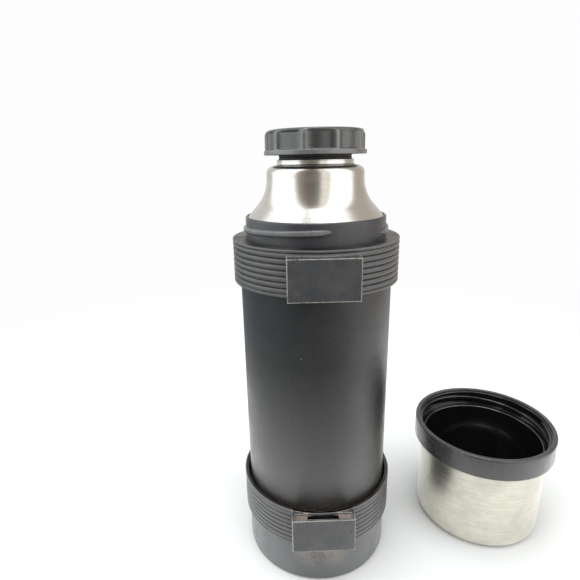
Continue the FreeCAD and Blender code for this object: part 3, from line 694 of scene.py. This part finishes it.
def new_shape_tree(name, inputs):
    return new_tree(name, "GeometryNodeTree", inputs, [("Geometry", GEOMETRY)])


def end_tree(tree, given, made, geometry):
    """Every tree ends in real geometry with its material."""
    real = result(tree, "GeometryNodeRealizeInstances", {0: geometry})
    painted = result(tree, "GeometryNodeSetMaterial", {
        "Geometry": real, "Material": given["Material"]})
    tree.links.new(painted, made["Geometry"])
    return tree


def empty_piece(name):
    return add_object(name, bpy.data.meshes.new(name))


def grow(piece, tree, **values):
    """Runs a geometry tree on a piece with these inputs and keeps the plain mesh."""
    modifier = piece.modifiers.new(tree.name, "NODES")
    modifier.node_group = tree
    for item in tree.interface.items_tree:
        if item.item_type == "SOCKET" and item.in_out == "INPUT" and item.name in values:
            modifier[item.identifier] = values[item.name]
    finished(piece).data.materials.clear()
    return piece


def full_section(tree, height, width, fullness):
    """A closed section between an oval (fullness 1) and a box (towards 0)."""
    circle = add_node(tree, "GeometryNodeCurvePrimitiveCircle",
                      {"Resolution": SECTION_POINTS, "Radius": 1.0}).outputs["Curve"]
    parts = split(tree, result(tree, "GeometryNodeInputPosition"))
    sides = {}
    for axis, size in (("X", height), ("Y", times(tree, width, 0.5))):
        filled = maths(tree, "POWER", maths(tree, "ABSOLUTE", parts[axis]), fullness)
        sides[axis] = times(tree, filled, maths(tree, "SIGN", parts[axis]), size)
    return result(tree, "GeometryNodeSetPosition", {
        "Geometry": circle, "Position": combine(tree, **sides)})


def rib_tree():
    """Rounded ribs: one ring with a full section, repeated up the piece."""
    tree, given, made = new_shape_tree("Ribs", [
        ("Count", WHOLE, 7),
        ("Pitch", FLOAT, 0.003),
        ("Radius", FLOAT, 0.05),
        ("Height", FLOAT, 0.001),
        ("Width", FLOAT, 0.002),
        ("First level", FLOAT, 0.0),
        ("Material", MATERIAL),
    ])
    spine = maths(tree, "SUBTRACT", given["Radius"], given["Height"])
    ring = add_node(tree, "GeometryNodeCurvePrimitiveCircle",
                    {"Resolution": SMALL_SIDES, "Radius": spine}).outputs["Curve"]
    section = full_section(tree, given["Height"], given["Width"], 0.95)
    rib = result(tree, "GeometryNodeCurveToMesh", {"Curve": ring, "Profile Curve": section})
    smooth = result(tree, "GeometryNodeSetShadeSmooth", {"Geometry": rib})
    levels = result(tree, "GeometryNodeMeshLine", {
        "Count": given["Count"], "Start Location": combine(tree, Z=given["First level"]),
        "Offset": combine(tree, Z=given["Pitch"])})
    rows = result(tree, "GeometryNodeInstanceOnPoints", {"Points": levels, "Instance": smooth})
    return end_tree(tree, given, made, rows)


def thread_tree():
    """Screw ridges: a rounded section that follows a helix and fades out at both ends."""
    tree, given, made = new_shape_tree("Screw ridges", [
        ("Starts", WHOLE, 2),
        ("Radius", FLOAT, 0.04),
        ("Height", FLOAT, 0.0015),
        ("Width", FLOAT, 0.003),
        ("Lead", FLOAT, 0.01),
        ("Sweep", FLOAT, 2.0),
        ("First angle", FLOAT, 0.0),
        ("First level", FLOAT, 0.0),
        ("Fade", FLOAT, 0.08),
        ("Material", MATERIAL),
    ])
    line = add_node(tree, "GeometryNodeCurvePrimitiveLine", {"Start": (0, 0, 0), "End": (1, 0, 0)})
    path = result(tree, "GeometryNodeResampleCurve", {
        "Curve": line.outputs[0], "Count": HELIX_POINTS})
    share = add_node(tree, "GeometryNodeSplineParameter").outputs["Factor"]
    swept = times(tree, share, given["Sweep"])
    angle = maths(tree, "ADD", swept, given["First angle"])
    rise = times(tree, maths(tree, "DIVIDE", swept, FULL_TURN), given["Lead"])
    place = combine(tree, X=times(tree, maths(tree, "COSINE", angle), given["Radius"]),
                    Y=times(tree, maths(tree, "SINE", angle), given["Radius"]),
                    Z=maths(tree, "ADD", rise, given["First level"]))
    helix = result(tree, "GeometryNodeSetPosition", {"Geometry": path, "Position": place})
    from_end = maths(tree, "MINIMUM", share, maths(tree, "SUBTRACT", 1.0, share))
    near = maths(tree, "DIVIDE", from_end, given["Fade"], clamp=True)
    short = maths(tree, "POWER", maths(tree, "SUBTRACT", 1.0, near), 2.0)
    round_in = maths(tree, "POWER", maths(tree, "SUBTRACT", 1.0, short), 0.5)
    size = maths(tree, "MAXIMUM", round_in, 0.02)
    upright = result(tree, "GeometryNodeSetCurveNormal", {"Curve": helix}, mode="Z_UP")
    section = full_section(tree, given["Height"], given["Width"], 0.5)
    ridge = result(tree, "GeometryNodeCurveToMesh", {
        "Curve": upright, "Profile Curve": section, "Scale": size, "Fill Caps": True})
    smooth = result(tree, "GeometryNodeSetShadeSmooth", {"Geometry": ridge})
    starts = result(tree, "GeometryNodeMeshLine", {"Count": given["Starts"], "Offset": (0, 0, 0)})
    number = result(tree, "GeometryNodeInputIndex")
    turn = times(tree, number, maths(tree, "DIVIDE", FULL_TURN, given["Starts"]))
    copies = result(tree, "GeometryNodeInstanceOnPoints", {
        "Points": starts, "Instance": smooth, "Rotation": combine(tree, Z=turn)})
    return end_tree(tree, given, made, copies)


def scoop_tree():
    """Finger scoops: pushes a turned knob's side inwards between evenly spaced ridges."""
    tree, given, made = new_shape_tree("Finger scoops", [
        ("Geometry", GEOMETRY),
        ("Count", WHOLE, 10),
        ("Depth", FLOAT, 0.0015),
        ("First angle", FLOAT, 0.0),
        ("Share", FLOAT, 0.9),
        ("Low", FLOAT, 0.0),
        ("High", FLOAT, 1.0),
        ("Foot run", FLOAT, 0.0003),
        ("Top run", FLOAT, 0.0022),
        ("Least radius", FLOAT, 0.02),
        ("Material", MATERIAL),
    ])
    parts = split(tree, result(tree, "GeometryNodeInputPosition"))
    angle = maths(tree, "ARCTAN2", parts["Y"], parts["X"])
    turned = maths(tree, "SUBTRACT", angle, given["First angle"])
    lobe = maths(tree, "FRACT", times(
        tree, maths(tree, "DIVIDE", turned, FULL_TURN), given["Count"]))
    from_middle = maths(tree, "ABSOLUTE", maths(tree, "MULTIPLY_ADD", lobe, 2.0, -1.0))
    across = maths(tree, "DIVIDE", from_middle, given["Share"], clamp=True)
    hollow = maths(tree, "SUBTRACT", 1.0, maths(tree, "POWER", across, 4.5))
    above = span(tree, parts["Z"], given["Low"],
                 maths(tree, "ADD", given["Low"], given["Foot run"]))
    below = span(tree, parts["Z"], given["High"],
                 maths(tree, "SUBTRACT", given["High"], given["Top run"]), ease="SMOOTHSTEP")
    depth = times(tree, hollow, above, below, given["Depth"])
    radius = length(tree, combine(tree, X=parts["X"], Y=parts["Y"]))
    outside = maths(tree, "GREATER_THAN", radius, given["Least radius"])
    shrink = maths(tree, "SUBTRACT", 1.0, times(
        tree, outside, maths(tree, "DIVIDE", depth, radius)))
    moved = combine(tree, X=times(tree, parts["X"], shrink), Y=times(tree, parts["Y"], shrink),
                    Z=parts["Z"])
    scooped = result(tree, "GeometryNodeSetPosition", {
        "Geometry": given["Geometry"], "Position": moved})
    return end_tree(tree, given, made, scooped)


RIBS = rib_tree()
THREAD = thread_tree()
SCOOPS = scoop_tree()


def screw_ridges(material, radius, height, width, lead, sweep, first_angle, level, centre=(0, 0)):
    """Two-start right-handed ridges on a wall of this radius, sizes in millimetres."""
    piece = grow(empty_piece("ridges"), THREAD, **{
        "Radius": radius * MM, "Height": height * MM, "Width": width * MM, "Lead": lead * MM,
        "Sweep": sweep, "First angle": first_angle, "First level": level * MM,
        "Material": MATERIALS[material]})
    piece.data.transform(Matrix.Translation(Vector((*centre, 0)) * MM))
    return piece


# ---- the steel flask


def body_wall():
    """The painted tube, with its foot in the base cup."""
    foot, weld = low("outer_shell"), high("outer_shell")
    fit(lathe("body_wall", [
        (BODY_RADIUS - STEEL, foot), (BODY_RADIUS, foot, 0.3),
        (BODY_RADIUS, weld), (BODY_RADIUS - STEEL, weld)]),
        "flask", "paint", ["outer_shell"])


def steel_shoulder():
    """Weld, shelf, collar seat, cone, throat, crown and the tube under the lip."""
    weld, shelf = low("shoulder"), low("collar_seal")
    seat, throat, lip = SEAT_RADIUS, THROAT_RADIUS, LIP_RADIUS
    cone_z = high("threaded_collar") - CONE_DROP
    throat_z = cone_z + CONE_RUN * math.tan(CONE_ANGLE)
    crown_z = throat_z + THROAT_HEIGHT
    lip_foot = crown_z + CROWN_RUN * math.tan(CROWN_ANGLE)
    lip_under = high("shoulder")
    cone_shift = STEEL * math.tan((math.pi / 2 - CONE_ANGLE) / 2)
    crown_shift = STEEL * math.tan((math.pi / 2 - CROWN_ANGLE) / 2)
    fit(lathe("neck_shoulder", [
        (BODY_RADIUS, weld),
        (BODY_RADIUS, shelf, 2.4),
        (seat, shelf, 0.8),
        (seat, cone_z, 1.6),
        (throat, throat_z, 23.0),
        (throat, crown_z, 4.4),
        (lip, lip_foot, 0.4),
        (lip, lip_under),
        (lip - STEEL, lip_under),
        (lip - STEEL, lip_foot - crown_shift),
        (throat - STEEL, crown_z - crown_shift, 3.6),
        (throat - STEEL, throat_z - cone_shift, 23.8),
        (seat - STEEL, cone_z - cone_shift, 0.8),
        (seat - STEEL, shelf - STEEL, 1.6),
        (BODY_RADIUS - STEEL, shelf - STEEL, 1.6),
        (BODY_RADIUS - STEEL, weld)], 14),
        "flask", "neck", ["shoulder"])


def bottle():
    """The inner bottle with its rolled lip and the neck's screw ridges."""
    foot, radius = low("inner_bottle"), reach("inner_bottle")
    lip, bore, neck = LIP_RADIUS, NECK_BORE, NECK_BORE + BOTTLE_WALL
    turn_z = low("collar_seal") - BOTTLE_TURN_DROP
    neck_z = turn_z + (radius - neck) * math.tan(BOTTLE_SLOPE)
    shift = BOTTLE_WALL * math.tan((math.pi / 2 - BOTTLE_SLOPE) / 2)
    shell = lathe("bottle_wall", [
        (radius - BOTTLE_WALL, foot), (radius, foot),
        (radius, turn_z, 10.0), (neck, neck_z, 6.0),
        (neck, LIP_Z - STEEL), (lip, LIP_Z - STEEL, 0.25), (lip, LIP_Z, 0.38), (bore, LIP_Z, 0.38),
        (bore, neck_z - shift, 6.6), (radius - BOTTLE_WALL, turn_z - shift, 9.4)],
        sides=SMALL_SIDES)
    ridges = screw_ridges("neck", bore, PLUG_RIDGE_HEIGHT, PLUG_RIDGE_WIDTH, PLUG_LEAD,
                          PLUG_RIDGE_SWEEP, 0.0, LIP_Z - PLUG_RIDGE_DROP)
    fit(joined("bottle_and_lip", [shell, ridges]),
        "flask", "neck", ["inner_bottle"])


# ---- mouldings on the flask


def base_cup():
    """The moulded foot, with a shallow recess for the pad."""
    inside = BODY_RADIUS + PRESS_GAP
    outside = reach("base_cap")
    foot, rim = low("base_cap"), high("base_cap")
    pad, seat = high("foot_pad"), low("outer_shell")
    fit(lathe("base_cup", [
        (0, pad), (PAD_RADIUS, pad), (PAD_RADIUS, foot, 0.3),
        (outside, foot, 1.6), (outside, rim, 0.3),
        (inside, rim), (inside, seat, 0.3), (0, seat)]),
        "flask", "base", ["base_cap"])


def ribbed_band(name, node, flange_z, side, flange_bore):
    """The ring, its ribs and the handle socket. side is 1 where the band opens upwards, else -1."""
    skirt = BAND_RADIUS - RIB_HEIGHT
    inner = BAND_RADIUS - BAND_WALL
    rim_z = flange_z + (high(node) - low(node)) * side
    inside_z = flange_z + BAND_FLANGE * side
    edge, step = BAND_EDGE * side, (BAND_EDGE + 0.7) * side
    ring = lathe(name + "_ring", [
        (flange_bore, inside_z), (flange_bore, flange_z),
        (BAND_RADIUS, flange_z, 0.5),
        (BAND_RADIUS, flange_z + edge, 0.5),
        (skirt, flange_z + step, 0.2),
        (skirt, rim_z - step, 0.2),
        (BAND_RADIUS, rim_z - edge, 0.5),
        (BAND_RADIUS, rim_z, 0.5),
        (inner, rim_z, 0.4),
        (inner, rim_z - BAND_LEAD_IN * side),
        (inner, inside_z, 0.4)], 5)
    ribs = grow(empty_piece(name + "_ribs"), RIBS, **{
        "Count": RIB_COUNT, "Pitch": RIB_PITCH * MM, "Radius": BAND_RADIUS * MM,
        "Height": RIB_HEIGHT * MM, "Width": RIB_WIDTH * MM,
        "First level": (min(flange_z, rim_z) + RIB_PITCH) * MM, "Material": MATERIALS["band"]})
    whole = joined(name, [ring, ribs, handle_socket(node, flange_z, side)])
    paint_shade_in_slot(whole, node, flange_z, side)
    fit(whole, "flask", "band socket inside recess", [node])


def paint_shade_in_slot(piece, node, flange_z, side):
    """Gives every face that is seen only through the handle's slot the near-black material of
    painted shade.
    """
    widest = SLOT_WIDTH / 2 + HOLLOW_MARGIN + 0.1
    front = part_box(node)[0].y / MM + SLOT_FRONT - HOLLOW_FRONT - 0.1
    back = -BAND_RADIUS + BAND_WALL + 0.3
    floor_z = flange_z + (high(node) - low(node) - RECESS) * side
    for face in piece.data.polygons:
        spot = face.center / MM
        depth = (floor_z - spot.z) * side
        if abs(spot.x) < widest and front < spot.y < back and 0.3 < depth < SLOT_DEPTH:
            face.material_index = PAINTED_SHADE


def handle_socket(node, flange_z, side):
    """A block with a shallow recess at its open end and the handle's slot in the recess's floor.
    Behind the slot it is hollow, and the skirt of the band is let into its back."""
    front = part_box(node)[0].y / MM
    half = SOCKET_WIDTH / 2
    open_z = flange_z + (high(node) - low(node)) * side
    shut_z = open_z - SOCKET_HEIGHT * side
    floor_z = open_z - RECESS * side
    past_z = open_z + side
    slot_front = front + SLOT_FRONT
    slot_end = open_z - SLOT_DEPTH * side
    wall = front + SOCKET_WALL

    def between(x_half, y_front, y_back, first_z, second_z, label):
        return block(label, (-x_half, y_front, min(first_z, second_z)),
                     (x_half, y_back, max(first_z, second_z)))

    body = between(half, front, -BODY_RADIUS + 4, open_z, shut_z, "socket_block")
    recess = between(half - SOCKET_WALL, wall, -BAND_RADIUS + 0.4, past_z, floor_z, "recess")
    slot = between(SLOT_WIDTH / 2, slot_front, slot_front + SLOT_THICKNESS, past_z, slot_end,
                   "slot")
    hollow = between(SLOT_WIDTH / 2 + HOLLOW_MARGIN, slot_front - HOLLOW_FRONT, -BAND_RADIUS + 1.4,
                     floor_z - SOCKET_WALL * side, slot_end, "hollow")
    core_low, core_high = sorted((open_z + 2 * side, shut_z - 2 * side))
    core_radius = BAND_RADIUS - BAND_WALL + 0.5
    core = lathe("core", [(0, core_low), (core_radius, core_low),
                          (core_radius, core_high), (0, core_high)])
    made = soften(cut_away(body, [recess, slot, hollow, core]), SOCKET_ROUNDING)
    for face in made.data.polygons:
        spot = face.center / MM
        sunk = abs(spot.x) < half - SOCKET_WALL + 0.1 and spot.y > wall - 0.1
        level = abs(spot.z - floor_z) < 0.3 and face.normal.z * side > 0.7
        face.material_index = DUSTY if sunk and level else SMOOTH
    return made


def threaded_collar():
    """The collar, held under the upper band by its foot, with the cup's outer thread."""
    bore, foot = SEAT_RADIUS + PRESS_GAP, COLLAR_RADIUS + COLLAR_FOOT
    foot_low, top = low("threaded_collar"), high("threaded_collar")
    band_top = high("upper_band")
    ring = lathe("collar_ring", [
        (bore, foot_low), (foot, foot_low), (foot, band_top - BAND_FLANGE),
        (COLLAR_RADIUS, band_top - BAND_FLANGE), (COLLAR_RADIUS, top, 1.1), (bore, top, 0.2)])
    ridges = screw_ridges("collar", COLLAR_RADIUS, RIDGE_HEIGHT, COLLAR_RIDGE_WIDTH, CUP_LEAD,
                          COLLAR_RIDGE_SWEEP, COLLAR_RIDGE_START, band_top + COLLAR_RIDGE_LEVEL)
    fit(joined("screw_collar", [ring, ridges]),
        "flask", "collar", ["threaded_collar"])


# ---- the stopper


def knob():
    """A turned cap, closely ringed up its side so that the scoops come out smooth."""
    foot, top = low("stopper_knob"), high("stopper_knob")
    cavity = reach("stopper_knob") - KNOB_WALL
    flange, flange_top = KNOB_RADIUS + KNOB_FLANGE, foot + KNOB_FLANGE_HEIGHT
    side_rings = [(KNOB_RADIUS, flange_top + 0.25 * step) for step in range(1, 3)]
    side_rings += [(KNOB_RADIUS, flange_top + 0.5 + 0.8 * step) for step in range(1, 9)]
    turned = lathe("knob_turned", [
        (cavity, foot), (flange, foot, 0.35), (flange, flange_top, 0.35),
        (KNOB_RADIUS, flange_top), *side_rings,
        (KNOB_RADIUS, top, 3.5), (KNOB_RADIUS - 9, top), (0, top),
        (0, top - KNOB_TOP), (cavity, top - KNOB_TOP, 1.2)], 12, KNOB_SIDES)
    scooped = grow(turned, SCOOPS, **{
        "Count": LOBES, "Depth": SCOOP_DEPTH * MM, "First angle": LOBE_START,
        "Low": flange_top * MM, "High": (top - 0.4) * MM,
        "Least radius": (KNOB_RADIUS - 2 * SCOOP_DEPTH) * MM, "Material": MATERIALS["knob"]})
    scooped.name = "lobed_knob"
    fit(scooped, "stopper", "knob", ["stopper_knob"])


def plug():
    """The threaded tube under the knob."""
    radius = NECK_BORE - PLUG_RIDGE_HEIGHT - PLUG_PLAY
    foot, top = low("stopper_plug"), high("stopper_plug")
    knob_foot = low("stopper_knob")
    flange = reach("stopper_knob") - KNOB_WALL - PRESS_GAP
    tube = lathe("plug_tube", [
        (radius - PLUG_WALL, foot), (radius, foot, 0.4), (radius, knob_foot),
        (flange, knob_foot), (flange, top), (radius - PLUG_WALL, top)], sides=SMALL_SIDES)
    ridges = screw_ridges("plug", radius, PLUG_RIDGE_HEIGHT, PLUG_RIDGE_WIDTH, PLUG_LEAD,
                          PLUG_RIDGE_SWEEP, math.pi / 2, LIP_Z - PLUG_RIDGE_DROP)
    fit(joined("threaded_plug", [tube, ridges]),
        "stopper", "plug", ["stopper_plug"])


def gasket():
    """A soft ring with a groove round its middle."""
    outside = reach("stopper_gasket")
    inside = outside - GASKET_WIDTH
    foot, top = low("stopper_gasket"), high("stopper_gasket")
    middle = (foot + top) / 2
    fit(lathe("ring_gasket", [
        (inside, foot), (outside, foot, 0.3), (outside, middle - GASKET_GROOVE, 0.15),
        (outside - 0.5, middle, 0.1), (outside, middle + GASKET_GROOVE, 0.15),
        (outside, top, 0.3), (inside, top)], 4, SMALL_SIDES),
        "stopper_carrier", "silicone", ["stopper_gasket"])


# ---- the cup


def cup_wall():
    """The drawn steel cup, with a rounded bottom."""
    outside, top = half_across("cup_shell"), high("cup_shell")
    inside = outside - CUP_STEEL
    fit(lathe("cup_wall", [
        (0, 0), (outside, 0, 6.5), (outside, top), (inside, top),
        (inside, CUP_STEEL, 5.8), (0, CUP_STEEL)], 12, centre=CUP_PLACE),
        "cup", "cup", ["cup_shell"])


def cup_inside():
    """The glossy bowl, the step at the steel's top, and the thread above it."""
    outside = half_across("cup_liner")
    under, top = low("cup_liner"), high("cup_liner")
    bowl = CUP_BORE - BOWL_INSET
    step_under = high("cup_shell") + PRESS_GAP
    step = step_under + LINER_STEP
    floor = under + LINER_WALL
    inner = bowl - LINER_WALL
    shell = lathe("liner_shell", [
        (0, under), (bowl, under, 9.0), (bowl, step_under), (outside, step_under),
        (outside, top), (CUP_BORE, top, 0.65), (CUP_BORE, step, 0.5), (inner, step, 0.9),
        (inner, floor, 7.4), (0, floor)], 10, centre=CUP_PLACE)
    ridges = screw_ridges("liner", CUP_BORE, RIDGE_HEIGHT, CUP_RIDGE_WIDTH, CUP_LEAD,
                          CUP_RIDGE_SWEEP, CUP_RIDGE_START, CUP_HEIGHT - CUP_RIDGE_DROP,
                          CUP_PLACE[:2])
    fit(joined("cup_inside", [shell, ridges]),
        "cup", "liner", ["cup_liner"])


def cup_edge():
    """The rim that laps over the steel's top and covers the liner's edge."""
    foot, cover = low("cup_rim"), CUP_HEIGHT - RIM_COVER
    hook = half_across("cup_shell") + PRESS_GAP
    inner, seat = CUP_BORE + RIM_LIP, CUP_BORE + RIM_SEAT
    fit(lathe("cup_edge", [
        (hook, foot), (CUP_RIM_RADIUS, foot, 0.5), (CUP_RIM_RADIUS, CUP_HEIGHT, 1.5),
        (inner, CUP_HEIGHT, 0.75), (inner, cover), (seat, cover),
        (seat, foot + RIM_LAP), (hook, foot + RIM_LAP)], centre=CUP_PLACE),
        "cup", "rim", ["cup_rim"])


# ---- pieces that stay as built


def finish_node(node, material):
    """Gives a piece that keeps its own shape its finish."""
    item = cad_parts[node]
    item.data.materials.clear()
    item.data.materials.append(MATERIALS[material])


KEPT = {"outer_bottom": "steel", "inner_bottom": "steel", "copper_foil": "copper",
        "getter": "getter", "vacuum_seal": "resin", "foot_pad": "rubber",
        "collar_seal": "silicone", "plug_base_cap": "plug", "stopper_foam": "foam"}

body_wall()
steel_shoulder()
bottle()
base_cup()
ribbed_band("top_band", "upper_band", high("upper_band"), -1, COLLAR_RADIUS + PRESS_GAP)
ribbed_band("bottom_band", "lower_band", low("lower_band"), 1, BODY_RADIUS + PRESS_GAP)
threaded_collar()
knob()
plug()
gasket()
cup_wall()
cup_inside()
cup_edge()
for kept_node, finish in KEPT.items():
    finish_node(kept_node, finish)

# ---- floor, light and camera

FLOOR_RADIUS = 900
FLOOR_COLOUR = (0.51, 0.517, 0.517, 1)
SEEN_WHITE = 0.985
BRIGHTEST = 2.0
# Round the horizon: degrees to the right of the front, and the room's colour there
HORIZON = [
    (-180, (0.9, 0.9, 0.9)), (-125, (0.70, 0.68, 0.64)), (-117, (1.8, 1.95, 2.0)),
    (-56, (1.9, 2.0, 2.0)), (-46, (0.42, 0.36, 0.31)), (-22, (0.20, 0.16, 0.13)),
    (-4, (0.17, 0.19, 0.18)), (7, (0.30, 0.25, 0.20)), (10, (1.3, 1.25, 1.15)),
    (22, (1.2, 1.17, 1.10)), (27, (0.50, 0.46, 0.40)), (32, (2.0, 2.0, 2.0)),
    (84, (2.0, 2.0, 2.0)), (94, (0.50, 0.45, 0.39)), (125, (0.55, 0.50, 0.44)),
    (180, (0.9, 0.9, 0.9))]


def floor():
    """A pale round floor that melts into the white room at its edge. The colour that it sends back
    up to the
    object carries painted light: it falls off with distance, except towards the cup, and is darker
    in front."""
    work = bmesh.new()
    bmesh.ops.create_circle(work, cap_ends=True, segments=96, radius=FLOOR_RADIUS)
    piece = mesh_object("floor", work)
    material, tree, shader, place = new_material("Pale floor")
    tone = span(tree, noise(tree, place, 3.0, 2.0), 0.3, 0.7)
    bright = mix_colour(tree, tone, (0.90, 0.91, 0.91, 1), (0.93, 0.935, 0.935, 1))
    away = length(tree, place)
    right = maths(tree, "DIVIDE", split(tree, place)["X"], away)
    # painted shade: darker straight in front, lighter to the sides
    painted_front_shade = span(tree, maths(tree, "ABSOLUTE", right), 0.05, 0.65, 0.75, 1.0)
    # painted light: how far the falloff drops at the far edge, staying bright towards the cup
    painted_far_level = span(tree, right, 0.6, 0.9, 0.28, 1.0)
    # painted pool of light that falls off with distance from the flask
    painted_light_falloff = times(tree, painted_front_shade, span(tree, away, 0.08, 0.32, 1.0, painted_far_level))
    painted_floor_light = mix_colour(tree, painted_light_falloff, grey(0.0), bright)
    path = add_node(tree, "ShaderNodeLightPath").outputs["Is Camera Ray"]
    feed(tree, shader, {
        "Base Color": mix_colour(tree, path, painted_floor_light, FLOOR_COLOUR),
        "Roughness": 0.8,
        "Specular IOR Level": 0.1,
        "Alpha": span(tree, away, 0.25, 0.7, 1.0, 0.0, "SMOOTHSTEP"),
    })
    piece.data.materials.append(material)


def soft_sun(name, from_place, strength, spread):
    """A broad overhead light, the same over the whole floor and never mirrored."""
    lamp = bpy.data.lights.new(name, "SUN")
    lamp.energy = strength
    lamp.angle = math.radians(spread)
    holder = add_object(name, lamp)
    holder.rotation_euler = (-Vector(from_place)).to_track_quat("-Z", "Y").to_euler()
    holder.visible_glossy = False


def studio():
    """A room with bright windows and darker gaps, seen only in reflections, over plain white."""
    world = bpy.data.worlds.new("Studio")
    world.use_nodes = True
    bpy.context.scene.world = world
    tree = world.node_tree
    tree.nodes.clear()
    toward = add_node(tree, "ShaderNodeTexCoord").outputs["Generated"]
    parts = split(tree, toward)
    angle = maths(tree, "ARCTAN2", parts["X"], times(tree, parts["Y"], -1.0))
    share = maths(tree, "MULTIPLY_ADD", angle, 1 / FULL_TURN, 0.5)
    ramp = add_node(tree, "ShaderNodeValToRGB", {"Fac": share})
    elements = ramp.color_ramp.elements
    while len(elements) < len(HORIZON):
        elements.new(0.5)
    for element, (degrees, colour) in zip(elements, HORIZON):
        element.position = (degrees + 180) / 360
        element.color = opaque(colour, 1 / BRIGHTEST)
    side = span(tree, parts["X"], -0.5, 0.5)
    ground = mix_colour(tree, side, (0.12, 0.17, 0.21, 1), (0.42, 0.38, 0.35, 1))
    window = times(tree, span(tree, angle, 0.5, 1.0), span(tree, angle, 1.8, 1.55),
                   span(tree, parts["Z"], -0.26, -0.45))
    low_part = mix_colour(tree, window, ground, (1.1, 1.03, 0.97, 1))
    below = span(tree, parts["Z"], -0.06, -0.22)
    walls = mix_colour(tree, below, ramp.outputs["Color"], low_part)
    ceiling_lamp = span(tree, parts["Z"], 0.972, 0.99)
    room = mix_colour(tree, ceiling_lamp, walls, (4.2, 4.5, 4.5, 1))
    light = add_node(tree, "ShaderNodeBackground", {"Color": room, "Strength": BRIGHTEST})
    seen = add_node(tree, "ShaderNodeBackground", {"Color": grey(1.0), "Strength": SEEN_WHITE})
    path = add_node(tree, "ShaderNodeLightPath").outputs["Is Camera Ray"]
    both = add_node(tree, "ShaderNodeMixShader", {0: path, 1: light.outputs[0], 2: seen.outputs[0]})
    add_node(tree, "ShaderNodeOutputWorld", {"Surface": both.outputs[0]})


def camera():
    lens = bpy.data.cameras.new("camera")
    lens.lens, lens.sensor_width = LENS, SENSOR
    lens.clip_start = 0.01
    holder = add_object("camera", lens)
    turn = (Matrix.Rotation(CAMERA_YAW, 4, "Z")
            @ Matrix.Rotation(math.pi / 2 - CAMERA_DOWN, 4, "X")
            @ Matrix.Rotation(CAMERA_ROLL, 4, "Z"))
    holder.matrix_world = Matrix.Translation(CAMERA_PLACE) @ turn
    bpy.context.scene.camera = holder


floor()
studio()
soft_sun("overhead", (-0.25, -0.45, 1.0), 3.6, 80)
camera()
bpy.context.scene.view_settings.view_transform = "Standard"
